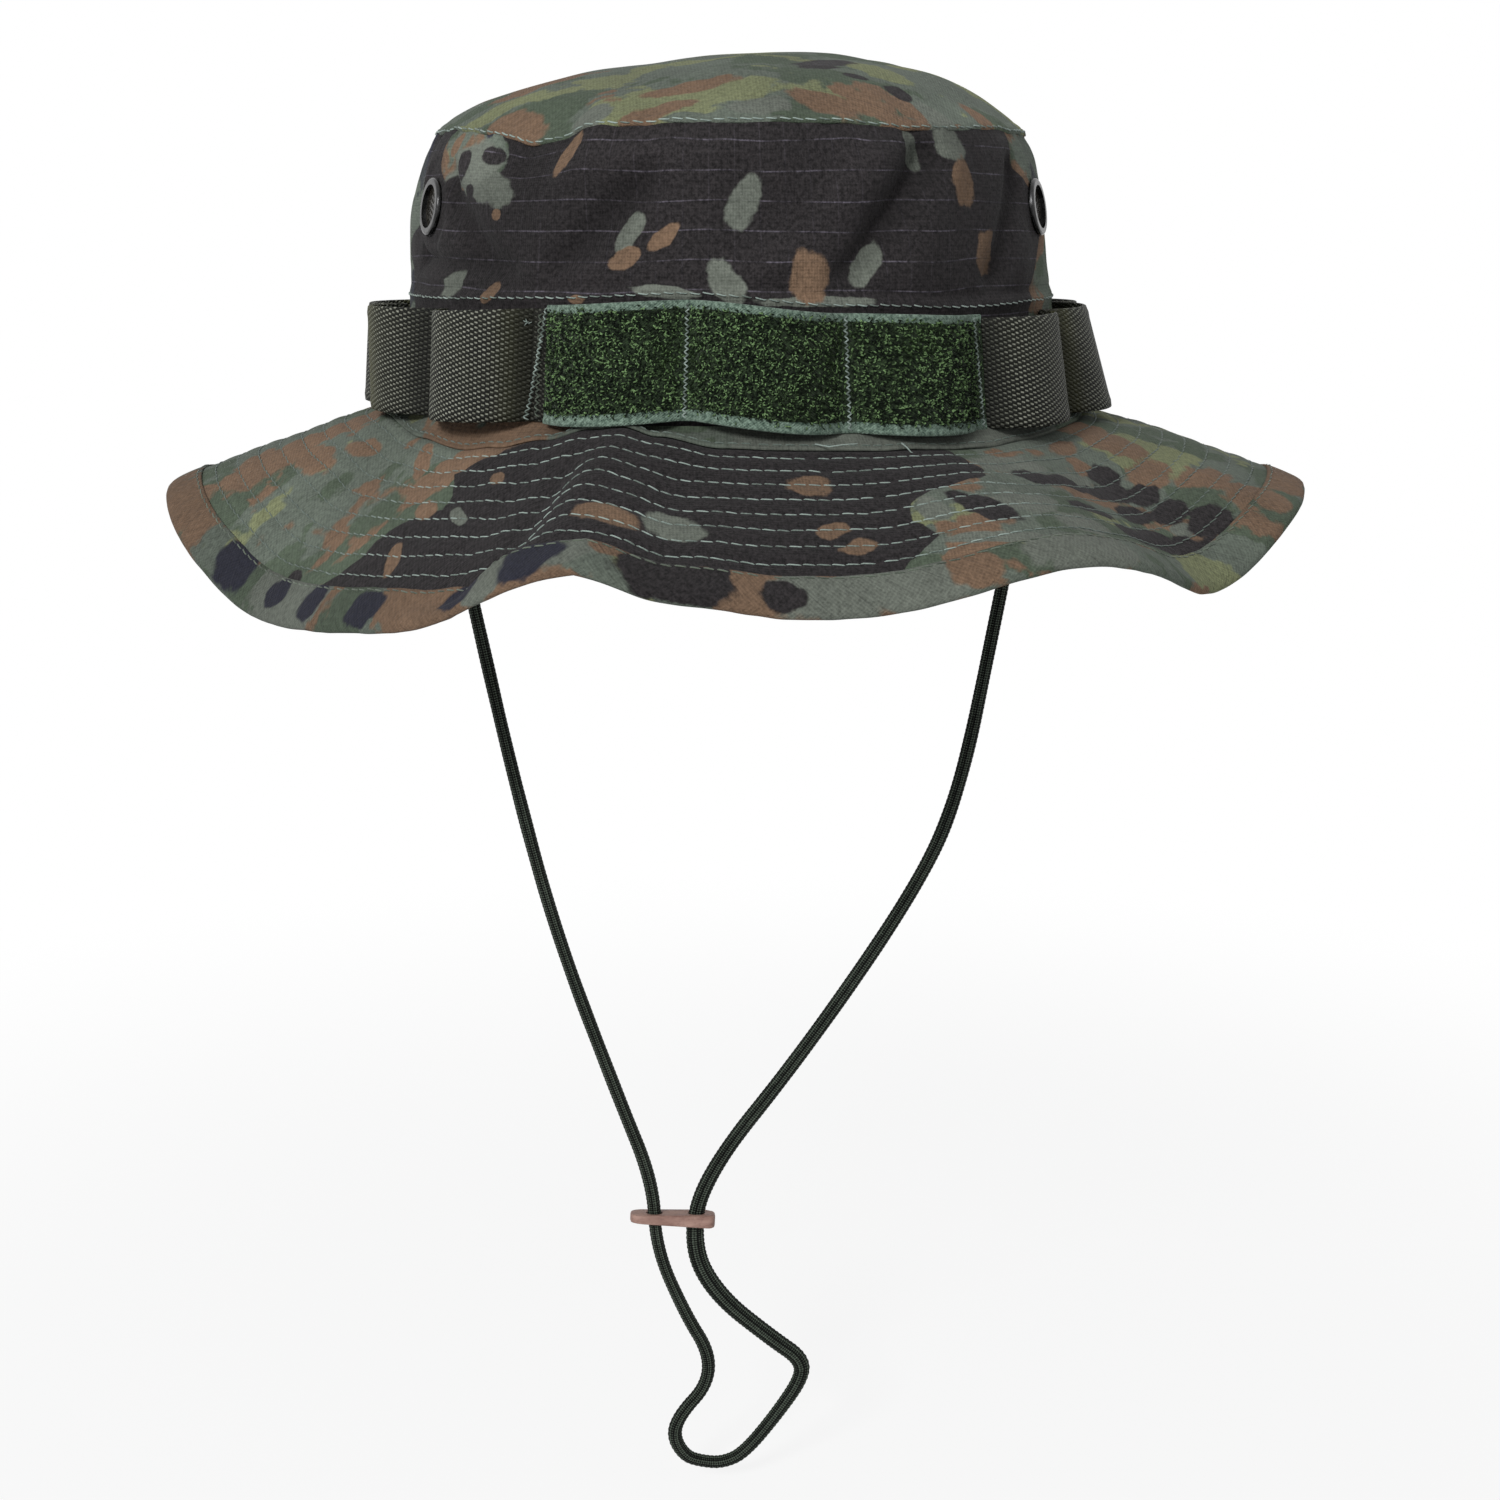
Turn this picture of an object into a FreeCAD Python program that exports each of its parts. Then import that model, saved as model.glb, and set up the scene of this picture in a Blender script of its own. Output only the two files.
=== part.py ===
import FreeCAD, Part
import math
import os

# Boonie hat, in millimetres. The origin is the middle of the head opening, at the level where
# the crown meets the brim. +Z is up, the front of the hat faces -Y and +X is its left-hand side
# as the wearer has it on. Directions round the hat are angles from the front towards +X.

# Crown
fabric = 1.2                 # crown cloth, seam allowances included
crown_half_width = 87.5      # at the foot of the wall
depth_ratio = 1.109          # front-to-back size over side-to-side size
wall_height = 70.0
dome_rise = 21.5
# The wall leans in as it rises: share of its height, and how far in from its foot.
wall_profile = ((0.0, 0.0), (0.4, 3.0), (0.5, 3.6), (0.62, 4.4), (0.7, 5.0), (0.77, 5.7),
                (0.83, 6.6), (0.88, 7.6), (0.92, 8.6), (0.96, 9.9), (1.0, 11.7))
# The top panel: share of its radius at the seam, and share of its rise.
dome_profile = ((1.0, 0.0), (0.945, 0.195), (0.85, 0.42), (0.67, 0.66), (0.375, 0.885), (0.0, 1.0))
side_seam_gap = 0.1
collar_width = 5.5           # crown hem turned out on the brim
collar_thickness = 1.0

# Sweatband
sweatband_thickness = 1.4
sweatband_top = 32.0
sweatband_below = 2.0        # how far it reaches below the crown, over the inner brim edge
cloth_gap = 0.3              # between two curved layers of cloth
ply_gap = 0.1                # between two stitched plies

# Brim
brim_width = 60.0            # along the slope, from the collar's edge
brim_ply = 0.9
quilting_start = 4.0         # first row of quilting, from the collar's edge
quilting_pitch = 6.0
brim_sag = 0.25              # how much more the brim falls near its edge than near the crown
drop_step = 15.0             # degrees between the values of brim_drop, from the front to +X
brim_drop = (29.0, 25.0, 22.0, 32.0, 21.0, 18.0, 22.0, 24.0, 28.0, 26.0, 21.0, 22.0,
             27.0, 25.0, 20.0, 22.0, 27.0, 25.0, 19.0, 29.0, 40.0, 40.0, 33.0, 21.0)
# Rise of the collar's edge at each of those directions: the hem sags where the brim pulls it down.
hem_wave = (-2.0, -2.8, -3.5, -2.9, -1.6, -0.7, 0.0, -0.8, -1.6, -1.0, 0.0, 0.2,
            0.0, 0.0, -0.8, -1.2, -0.6, 0.0, 0.0, -0.4, -2.6, -4.4, -1.2, 0.3)
hem_fade = 1.3                 # how fast that dies out towards the brim's edge
binding_width = 10.0
binding_cloth = 0.6
edge_cover = 0.8             # binding cloth outside the edge of the plies

# Webbing with loops
webbing_height = 25.4
webbing_bottom = 2.0
webbing_thickness = 1.2
loop_count = 15
first_tack = -34.3           # direction of the tack at the loop tape's right-hand end
tack_half_angle = 1.2
loop_bulge = 10.5
front_bulge = 5.0            # the loops under the loop tape lie flatter
front_loops = 3

# Hook-and-loop tape, loop side out
tape_bottom = 1.8
tape_height = 26.5
tape_thickness = 1.6
tack_width = 1.4
tack_thickness = 0.5
tack_margin = 0.8

# Vents
vent_angles = {"front_left": 64.0, "front_right": -67.0, "back_left": 114.0, "back_right": -113.0}
vent_below_seam = 18.4
eyelet_radius = 7.0
eyelet_thickness = 0.9
barrel_radius = 5.9
barrel_wall = 0.6
washer_radius = 7.2
washer_thickness = 0.7
mesh_thickness = 0.4
mesh_pitch = 1.3
mesh_hole = 0.85
mesh_rows = 4                # holes on each side of the middle one

# Chin cord: a plaited cord sewn in at both sides of the head opening
cord_diameter = 3.6
cord_start = -1.0
cord_right = ((-76.5, 0.0, -22.0), (-69.5, 0.6, -59.0), (-60.0, -0.8, -106.0), (-49.5, 0.7, -150.0),
              (-33.0, -0.5, -198.0), (-23.2, 0.0, -225.0), (-21.8, 0.0, -248.0),
              (-3.6, 1.5, -286.0), (-20.5, -1.5, -308.0), (-9.0, 0.5, -321.5))
cord_left = ((79.8, 0.0, -24.0), (73.8, 0.7, -59.0), (64.5, -0.8, -109.0),
             (53.0, 0.6, -137.0), (21.0, -0.6, -185.0), (-8.8, 0.0, -224.0),
             (-10.2, 0.0, -249.0), (1.0, -0.8, -266.0), (26.5, 1.2, -290.0), (6.5, -0.8, -317.5))

# Leather slide on the cord
slide_height = -236.4
slide_run = 5                # the point of each strand just above the slide
slide_margin_right = 7.5     # from the middle of the right strand's hole to that end
slide_margin_left = 4.3
slide_depth = 9.0
slide_thickness = 2.4
slide_hole_clearance = 0.5
slide_tip = 19.0             # degrees: it hangs with its front edge higher than its back edge
slide_lean = 2.5             # degrees: its end towards +X is the lower one


def vector(x, y, z):
    return FreeCAD.Vector(x, y, z)


def export(name, shape):
    shape.exportStep("parts/" + name + ".step")
    print(name, "volume", round(shape.Volume, 1), "valid", shape.isValid(), len(shape.Solids))


def wall_outline():
    """Radii and heights of the crown's outside, from its foot to the seam."""
    return [(crown_half_width - inset, share * wall_height) for share, inset in wall_profile]


def wall_radius(height):
    """Half width of the crown's outside at a height, straight between the outline's points."""
    outline = wall_outline()
    for low, high in zip(outline, outline[1:]):
        if height <= high[1]:
            share = (height - low[1]) / (high[1] - low[1])
            return low[0] + share * (high[0] - low[0])
    return outline[-1][0]


def spline(points):
    curve = Part.BSplineCurve()
    curve.interpolate([vector(radius, 0.0, height) for radius, height in points])
    return curve.toShape()


def line(first, last):
    return Part.LineSegment(vector(first[0], 0.0, first[1]), vector(last[0], 0.0, last[1])).toShape()


def spun(edges):
    """A profile turned about the hat's axis and stretched from front to back."""
    face = Part.Face(Part.Wire(Part.__sortEdges__(edges)))
    solid = face.revolve(vector(0, 0, 0), vector(0, 0, 1), 360.0)
    stretch = FreeCAD.Matrix()
    stretch.scale(vector(1.0, depth_ratio, 1.0))
    return Part.Solid(solid.transformGeometry(stretch).Shells[0])


def on_hat(angle, height, outward):
    """A point that far outside the crown's wall."""
    turn = math.radians(angle)
    radius = wall_radius(height)
    return vector((radius + outward) * math.sin(turn),
                  -(radius * depth_ratio + outward) * math.cos(turn), height)


def lofted(profile):
    """A solid through flat closed curves round the hat, given as radii and heights."""
    return Part.makeLoft([Part.Wire(flat_ring(radius, height)) for radius, height in profile], True, True)


def crown_wall():
    outline = wall_outline()
    wall = lofted(outline).cut(lofted([(radius - fabric, height) for radius, height in outline]))
    for angle in vent_angles.values():
        hole = Part.makeCylinder(barrel_radius + ply_gap * 2.0, fabric * 6.0, vector(0, 0, -fabric * 3.0))
        wall = wall.cut(seated(hole, angle))
    return wall


def half(shape, side):
    """The front (-1) or back (+1) half of a shape, cut just clear of the side seams."""
    reach = 400.0
    box = Part.makeBox(reach, reach, reach, vector(-reach / 2.0, 0.0, -reach / 2.0))
    shift = side_seam_gap / 2.0 if side > 0 else -reach - side_seam_gap / 2.0
    box.translate(vector(0, shift, 0))
    return shape.common(box).Solids[0]


def crown_top():
    seam = wall_outline()[-1]
    outer = [(share * seam[0], seam[1] + rise * dome_rise) for share, rise in dome_profile]
    inner = []
    for number, (radius, height) in enumerate(outer):
        before = outer[max(number - 1, 0)]
        after = outer[min(number + 1, len(outer) - 1)]
        along = (after[0] - before[0], after[1] - before[1])
        size = math.hypot(*along)
        inner.append((radius - fabric * along[1] / size, height + fabric * along[0] / size))
    inner[0] = (outer[0][0] - fabric, outer[0][1])
    inner[-1] = (0.0, outer[-1][1] - fabric)
    return spun([spline(outer), spline(inner), line(outer[0], inner[0]), line(outer[-1], inner[-1])])


def sweatband():
    inside = fabric + cloth_gap
    foot = (wall_radius(0.0) - inside, -sweatband_below)
    outer = [foot] + [(wall_radius(height) - inside, height) for height in (0.0, sweatband_top)]
    corners = outer + [(radius - sweatband_thickness, height) for radius, height in reversed(outer)]
    return spun([line(corners[i], corners[(i + 1) % len(corners)]) for i in range(len(corners))])


def closed_curve(points):
    curve = Part.BSplineCurve()
    share = [i / len(points) for i in range(len(points) + 1)]
    curve.interpolate(Points=points, PeriodicFlag=True, Parameters=share)
    return curve.toShape()


def brim_ring(share, lift):
    """A closed curve round the brim: share 0 at the collar's edge and 1 at the brim's edge."""
    base = wall_radius(0.0) + collar_width
    points = []
    for number, drop in enumerate(brim_drop):
        turn = math.radians(number * drop_step)
        across = (base * math.sin(turn), -base * depth_ratio * math.cos(turn))
        normal = (math.sin(turn) * depth_ratio, -math.cos(turn))
        size = math.hypot(*normal)
        reach = share * math.sqrt(brim_width ** 2 - drop ** 2)
        fall = drop * share * (1.0 - brim_sag + brim_sag * share)
        rise = hem_wave[number] * (1.0 - share) ** hem_fade
        points.append(vector(across[0] + normal[0] / size * reach,
                             across[1] + normal[1] / size * reach, lift + rise - fall))
    return closed_curve(points)


def flat_ring(radius, lift):
    points = []
    for number in range(len(brim_drop)):
        turn = math.radians(number * drop_step)
        points.append(vector(radius * math.sin(turn), -radius * depth_ratio * math.cos(turn), lift))
    return closed_curve(points)


def ring_solid(rings):
    """A closed tube round the hat whose cross-section runs through the rings in turn."""
    faces = []
    for number, ring in enumerate(rings):
        faces.append(Part.makeRuledSurface(ring, rings[(number + 1) % len(rings)]))
    shell = Part.makeShell(faces)
    shell.sewShape()
    solid = Part.makeSolid(shell)
    if solid.Volume < 0:
        solid.reverse()
    return solid


def hem_rings(lift):
    """The hem's inner line, flat under the wall, and its edge on the brim."""
    return [flat_ring(wall_radius(0.0) + ply_gap, lift), brim_ring(0.0, lift)]


def collar():
    """The crown's lower hem, turned out and lying on the brim."""
    return ring_solid(hem_rings(0.0) + list(reversed(hem_rings(collar_thickness))))


def brim_shares(first, last):
    """Where the quilting rows cross the brim between two shares, with both ends."""
    count = int((brim_width - quilting_start) / quilting_pitch) + 1
    rows = [(quilting_start + number * quilting_pitch) / brim_width for number in range(count)]
    margin = ply_gap / brim_width
    return [first] + [row for row in rows if first + margin < row < last - margin] + [last]


def brim_plies():
    plies = {}
    edge = 1.0 - (edge_cover + ply_gap) / brim_width
    inner = wall_radius(0.0) - fabric
    for name, top in (("brim_upper", 0.0), ("brim_lower", -brim_ply - ply_gap)):
        bottom = top - brim_ply
        shares = brim_shares(0.0, edge)
        rings = [flat_ring(inner, top)] + hem_rings(top)[:1]
        rings += [brim_ring(share, top) for share in shares]
        rings += [brim_ring(share, bottom) for share in reversed(shares)]
        rings += hem_rings(bottom)[:1] + [flat_ring(inner, bottom)]
        plies[name] = ring_solid(rings)
    return plies


def brim_binding():
    top = ply_gap
    bottom = -2.0 * brim_ply - 2.0 * ply_gap
    inside = 1.0 - edge_cover / brim_width
    first = 1.0 - binding_width / brim_width
    outer = brim_shares(first, 1.0)
    inner = brim_shares(first, inside)
    rings = [brim_ring(share, top + binding_cloth) for share in outer]
    rings += [brim_ring(share, bottom - binding_cloth) for share in reversed(outer)]
    rings += [brim_ring(share, bottom) for share in inner]
    rings += [brim_ring(share, top) for share in reversed(inner)]
    return ring_solid(rings)


def tack_angle(number):
    return first_tack + number * 360.0 / loop_count


def bulge(number):
    return front_bulge if number < front_loops else loop_bulge


def loop_edges(height, outward, numbers):
    """Tack lands and arched loops in turn, that far outside the crown's wall."""
    edges = []
    for number in numbers:
        start = tack_angle(number)
        end = tack_angle(number + 1)
        land = [on_hat(start + side * tack_half_angle, height, outward) for side in (-1, 1)]
        middle = on_hat((start + end) / 2.0, height, outward + bulge(number))
        far = on_hat(end - tack_half_angle, height, outward)
        edges.append(Part.LineSegment(land[0], land[1]).toShape())
        edges.append(Part.Arc(land[1], middle, far).toShape())
    return edges


def webbing_band():
    levels = (webbing_bottom, webbing_bottom + webbing_height)
    skins = []
    for outward in (cloth_gap + webbing_thickness, cloth_gap):
        wires = [Part.Wire(loop_edges(level, outward, range(loop_count))) for level in levels]
        skins.append(Part.makeLoft(wires, True, True))
    return skins[0].cut(skins[1]).Solids[0]


def tape_wire(height):
    """The loop tape's outline at a height: over its loops and lands, with square ends."""
    inner = cloth_gap + webbing_thickness + ply_gap
    edges = []
    for outward in (inner, inner + tape_thickness):
        last = tack_angle(front_loops)
        edges += loop_edges(height, outward, range(front_loops))
        edges.append(Part.LineSegment(on_hat(last - tack_half_angle, height, outward),
                                      on_hat(last + tack_half_angle, height, outward)).toShape())
    for angle in (tack_angle(0) - tack_half_angle, tack_angle(front_loops) + tack_half_angle):
        edges.append(Part.LineSegment(on_hat(angle, height, inner),
                                      on_hat(angle, height, inner + tape_thickness)).toShape())
    return Part.Wire(Part.__sortEdges__(edges))


def loop_tape():
    wires = [tape_wire(level) for level in (tape_bottom, tape_bottom + tape_height)]
    return Part.makeLoft(wires, True, True)


def tack(angle, bottom, height, inner):
    """A raised bar of zigzag stitches up the face of a tack."""
    wires = []
    spread = math.degrees(tack_width / 2.0 / wall_radius(bottom))
    for level in (bottom + tack_margin, bottom + height - tack_margin):
        corners = [on_hat(angle - spread, level, inner), on_hat(angle + spread, level, inner),
                   on_hat(angle + spread, level, inner + tack_thickness),
                   on_hat(angle - spread, level, inner + tack_thickness)]
        wires.append(Part.makePolygon(corners + corners[:1]))
    return Part.makeLoft(wires, True, True)


def seated(shape, angle):
    """A piece made along +Z about the origin, set square on the crown's wall at a vent."""
    vent_height = wall_height - vent_below_seam
    lean = wall_radius(vent_height - eyelet_radius) - wall_radius(vent_height + eyelet_radius)
    slope = lean / (2.0 * eyelet_radius)
    turn = math.radians(angle)
    outward = vector(math.sin(turn) * depth_ratio, -math.cos(turn), 0.0)
    outward.normalize()
    outward = outward + vector(0, 0, slope)
    outward.normalize()
    placed = shape.copy()
    place = FreeCAD.Placement(on_hat(angle, vent_height, 0.0),
                              FreeCAD.Rotation(vector(0, 0, 1), outward))
    placed.Placement = place.multiply(placed.Placement)
    return placed


def tube(outer, inner, bottom, top):
    body = Part.makeCylinder(outer, top - bottom, vector(0, 0, bottom))
    return body.cut(Part.makeCylinder(inner, top - bottom, vector(0, 0, bottom)))


def vent_pieces():
    inner = barrel_radius - barrel_wall
    sagitta = washer_radius ** 2 / (2.0 * wall_radius(wall_height - vent_below_seam)) + ply_gap
    washer_top = -fabric - sagitta
    washer_bottom = washer_top - washer_thickness
    barrel = tube(barrel_radius, inner, washer_bottom - ply_gap, cloth_gap)
    flange = tube(eyelet_radius, inner, cloth_gap, cloth_gap + eyelet_thickness)
    rim = flange.Edges[0]
    for edge in flange.Edges:
        outer_top = abs(edge.BoundBox.XLength - 2.0 * eyelet_radius) < 0.01
        if outer_top and edge.BoundBox.ZMin > cloth_gap + eyelet_thickness / 2.0:
            rim = edge
    flange = flange.makeFillet(eyelet_thickness * 0.7, [rim])
    eyelet = barrel.fuse(flange).removeSplitter()
    washer = tube(washer_radius, barrel_radius + ply_gap, washer_bottom, washer_top)
    disc = Part.makeCylinder(inner - ply_gap, mesh_thickness, vector(0, 0, -mesh_thickness))
    holes = []
    for column in range(-mesh_rows, mesh_rows + 1):
        for row in range(-mesh_rows, mesh_rows + 1):
            corner = math.hypot(abs(column) * mesh_pitch + mesh_hole / 2.0,
                                abs(row) * mesh_pitch + mesh_hole / 2.0)
            if corner < inner - 2.0 * ply_gap:
                holes.append(Part.makeBox(mesh_hole, mesh_hole, mesh_thickness,
                                          vector(column * mesh_pitch - mesh_hole / 2.0,
                                                 row * mesh_pitch - mesh_hole / 2.0, -mesh_thickness)))
    mesh = disc.cut(Part.makeCompound(holes))
    return {"vent_eyelet": eyelet, "vent_washer": washer, "vent_mesh": mesh}


def cord_points():
    inside = fabric + cloth_gap + sweatband_thickness + cloth_gap
    side = wall_radius(0.0) - inside - cord_diameter / 2.0
    route = [(-side, 0.0, cord_start)] + list(cord_right)
    route += list(reversed(cord_left)) + [(side, 0.0, cord_start)]
    return [vector(x, y, z) for x, y, z in route]


def cord():
    """Straight runs joined by tangent arcs, swept with a round section."""
    points = cord_points()
    edges = []
    here = points[0]
    radii = []
    for before, corner, after in zip(points, points[1:], points[2:]):
        back = (before - corner)
        ahead = (after - corner)
        turn = math.pi - back.getAngle(ahead)
        trim = 0.45 * min(back.Length, ahead.Length)
        radii.append(round(trim / math.tan(turn / 2.0), 1))
        start = corner + back.normalize() * trim
        end = corner + ahead.normalize() * trim
        middle_line = (back + ahead).normalize()
        radius = trim / math.tan(turn / 2.0)
        middle = corner + middle_line * (radius / math.cos(turn / 2.0) - radius)
        edges.append(Part.LineSegment(here, start).toShape())
        edges.append(Part.Arc(start, middle, end).toShape())
        here = end
    edges.append(Part.LineSegment(here, points[-1]).toShape())
    path = Part.Wire(edges)
    circle = Part.Circle(points[0], points[1] - points[0], cord_diameter / 2.0)
    solid = path.makePipeShell([Part.Wire(circle.toShape())], True, False)
    expected = path.Length * math.pi * (cord_diameter / 2.0) ** 2
    print("cord length", round(path.Length, 1), "radii", radii)
    print("cord volume", round(solid.Volume, 1), "of", round(expected, 1))
    return solid


def strand_at(points, height):
    """Where a strand is across the hat at a height on its run through the slide."""
    first = points[slide_run]
    second = points[slide_run + 1]
    share = (height - first[2]) / (second[2] - first[2])
    return first[0] + share * (second[0] - first[0])


def cord_slide():
    """A leather tab with rounded ends and a hole for each strand of the cord."""
    end = slide_depth / 2.0
    bottom = slide_height - slide_thickness / 2.0
    holes = [strand_at(points, slide_height) for points in (cord_right, cord_left)]
    low = min(holes) - slide_margin_right + end
    high = max(holes) + slide_margin_left - end
    body = Part.makeBox(high - low, slide_depth, slide_thickness, vector(low, -end, bottom))
    for middle in (low, high):
        body = body.fuse(Part.makeCylinder(end, slide_thickness, vector(middle, 0.0, bottom)))
    body = body.removeSplitter()
    centre = vector((low + high) / 2.0, 0.0, slide_height)
    body.rotate(centre, vector(1, 0, 0), -slide_tip)
    body.rotate(centre, vector(0, 1, 0), slide_lean)
    for across in holes:
        radius = cord_diameter / 2.0 + slide_hole_clearance
        start = vector(across, 0.0, bottom - 2.0 * slide_thickness)
        body = body.cut(Part.makeCylinder(radius, 5.0 * slide_thickness, start))
    return body


os.makedirs("parts", exist_ok=True)
wall = crown_wall()
export("crown_front", half(wall, -1))
export("crown_back", half(wall, 1))
export("crown_top", crown_top())
export("crown_collar", collar())
export("sweatband", sweatband())
for name, ply in brim_plies().items():
    export(name, ply)
export("brim_binding", brim_binding())
export("webbing_band", webbing_band())
export("loop_tape", loop_tape())
face = cloth_gap + webbing_thickness + ply_gap
plain = []
for number in range(front_loops + 1, loop_count):
    plain.append(tack(tack_angle(number), webbing_bottom, webbing_height, face))
export("webbing_tacks", Part.makeCompound(plain))
over = face + tape_thickness + ply_gap
covered = []
for number in range(front_loops + 1):
    covered.append(tack(tack_angle(number), tape_bottom, tape_height, over))
export("tape_tacks", Part.makeCompound(covered))
pieces = vent_pieces()
for place, angle in vent_angles.items():
    for name, piece in pieces.items():
        export(name + "_" + place, seated(piece, angle))
export("chin_cord", cord())
export("cord_slide", cord_slide())
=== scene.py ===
import math
import random

import bpy
import numpy as np
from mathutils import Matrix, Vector, noise


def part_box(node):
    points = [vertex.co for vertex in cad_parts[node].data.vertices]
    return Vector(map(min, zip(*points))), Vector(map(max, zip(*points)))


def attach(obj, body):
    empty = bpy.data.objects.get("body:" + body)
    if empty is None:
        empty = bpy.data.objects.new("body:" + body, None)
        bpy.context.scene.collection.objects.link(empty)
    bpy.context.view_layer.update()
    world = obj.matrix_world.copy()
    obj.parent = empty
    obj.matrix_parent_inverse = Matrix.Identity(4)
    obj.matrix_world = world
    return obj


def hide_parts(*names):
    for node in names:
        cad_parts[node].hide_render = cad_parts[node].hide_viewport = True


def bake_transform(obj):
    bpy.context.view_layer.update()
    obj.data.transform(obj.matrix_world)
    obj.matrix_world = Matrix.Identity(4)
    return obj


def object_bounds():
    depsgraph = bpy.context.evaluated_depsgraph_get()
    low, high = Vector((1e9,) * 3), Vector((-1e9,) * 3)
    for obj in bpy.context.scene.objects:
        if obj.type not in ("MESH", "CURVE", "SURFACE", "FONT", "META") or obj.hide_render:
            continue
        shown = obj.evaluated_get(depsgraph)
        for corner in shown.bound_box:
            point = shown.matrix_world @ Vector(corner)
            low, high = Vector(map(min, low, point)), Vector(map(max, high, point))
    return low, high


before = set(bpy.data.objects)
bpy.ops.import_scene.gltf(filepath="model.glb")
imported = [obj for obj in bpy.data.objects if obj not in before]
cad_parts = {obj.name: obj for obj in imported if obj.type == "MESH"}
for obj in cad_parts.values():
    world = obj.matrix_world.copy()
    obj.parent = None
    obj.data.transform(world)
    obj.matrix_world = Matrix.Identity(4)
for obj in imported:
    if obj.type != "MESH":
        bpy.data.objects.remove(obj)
cad_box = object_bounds()

# ---------------------------------------------------------------- measures
# Shape functions work in millimetres; every mesh is scaled to metres once.
# Angles run from the front (-Y) towards +X. Up is +Z.
MM = 0.001
TAU = 2.0 * math.pi
random.seed(11)

CROWN_HALF_WIDTH = 87.5
DEPTH_RATIO = 1.109
WALL_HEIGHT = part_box("crown_front")[1][2] / MM
DOME_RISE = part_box("crown_top")[1][2] / MM - WALL_HEIGHT
WALL_PROFILE = ((0.0, 0.0), (0.4, 3.0), (0.5, 3.6), (0.62, 4.4), (0.7, 5.0), (0.77, 5.7),
                (0.83, 6.6), (0.88, 7.6), (0.92, 8.6), (0.96, 9.9), (1.0, 11.7))
DOME_PROFILE = ((0.0, 1.0), (0.375, 0.885), (0.67, 0.66), (0.85, 0.42), (0.945, 0.195), (1.0, 0.0))
BRIM_BASE = 93.0
BRIM_WIDTH = 60.0
BRIM_DROP = (29, 25, 22, 32, 21, 18, 22, 24, 28, 26, 21, 22,
             27, 25, 20, 22, 27, 25, 19, 29, 40, 40, 33, 21)
BINDING_START = 0.8333
QUILT_START = 4.0
QUILT_PITCH = 6.0
QUILT_ROWS = 8
LOOPS = 15
LOOP_STEP = 24.0
FIRST_TACK = -34.3
TACK_HALF = 1.2
WEB_LOW, WEB_HIGH = 2.0, 27.4
TAPE_LOW, TAPE_HIGH = 1.8, 28.3
VENTS = ((64.0, 51.6), (-67.0, 51.6), (114.0, 51.6), (-113.0, 51.6))
VENT_HOLE = 6.3    # radius of the hole in the cloth
VENT_FLAT = 13.0   # the cloth lies flat this far round a vent
CLOTH_THICK, BAND_THICK = 0.8, 1.0
MM_PER_DEGREE = 1.6   # round the crown, near enough
PLY_FACES = {1: -0.15, -1: -1.75}   # height of the brim's upper and lower face at the crown

# How far the crown's hem rises and dips round the brim, by angle in degrees.
HEM_WAVE = ((-180, 0.0), (-140, -1.5), (-110, 0.5), (-72, 0.5), (-57, -3.4), (-48, -4.8), (-40, -3.4),
            (-31, -0.8), (-24, 2.0), (-19, 2.8), (-14, 0.8), (-5, -1.8), (6, -2.4), (20, -3.0),
            (35, -3.8), (46, -2.9), (60, -1.6), (90, 0.0), (125, -2.0), (155, 1.0), (180, 0.0))
# How far the webbing and tape shift up or down with it.
SEW_SHIFT = ((-180, 0.0), (-60, 0.0), (-34, 0.9), (-10, 2.4), (14, -0.7), (38, -1.7), (62, -0.8), (86, 0.0),
             (180, 0.0))


def wrapped(degrees):
    """The same angle, from -180 to 180."""
    return (degrees + 180.0) % 360.0 - 180.0


def outward(phi):
    return np.array((math.sin(phi), -math.cos(phi), 0.0))


def smooth_table(degrees, table):
    """Value of a closed table of (angle, value), eased between its entries."""
    d = wrapped(degrees)
    for (a, va), (b, vb) in zip(table, table[1:]):
        if a <= d <= b:
            t = (d - a) / (b - a)
            t = t * t * (3.0 - 2.0 * t)
            return va + (vb - va) * t
    return table[-1][1]


def wall_radius(z):
    share = min(max(z / WALL_HEIGHT, 0.0), 1.0)
    return CROWN_HALF_WIDTH - float(np.interp(share, *zip(*WALL_PROFILE)))


def on_hat(phi, z, out):
    r = wall_radius(z)
    return np.array(((r + out) * math.sin(phi), -(r * DEPTH_RATIO + out) * math.cos(phi), z))


def eased(x, low, high):
    t = min(max((x - low) / (high - low), 0.0), 1.0)
    return t * t * (3.0 - 2.0 * t)


def bumps(x, y, z, size, seed):
    """Smooth noise from about -1 to 1, with features of that size in mm."""
    return noise.noise(Vector((x / size + 31.7 * seed, y / size - 11.3 * seed, z / size + 5.9 * seed)))


def near(phi, z, at_deg, at_z, radius):
    """1 at a spot on the wall, fading to 0 at the radius in mm."""
    along = wrapped(math.degrees(phi) - at_deg) * MM_PER_DEGREE
    return 1.0 - eased(math.hypot(along, z - at_z), radius * 0.75, radius)


def drop_spline():
    n = len(BRIM_DROP)
    y = np.array(BRIM_DROP, float)
    m = 4.0 * np.eye(n) + np.roll(np.eye(n), 1, 0) + np.roll(np.eye(n), -1, 0)
    return y, np.linalg.solve(m, 6.0 * (np.roll(y, -1) - 2.0 * y + np.roll(y, 1)))


DROPS, BENDS = drop_spline()


def brim_drop(phi):
    t = (math.degrees(phi) % 360.0) / 15.0
    i = int(t) % 24
    j = (i + 1) % 24
    u = t - int(t)
    v = (BENDS[i] * (1 - u) ** 3 + BENDS[j] * u ** 3) / 6.0
    return v + (DROPS[i] - BENDS[i] / 6.0) * (1 - u) + (DROPS[j] - BENDS[j] / 6.0) * u


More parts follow.
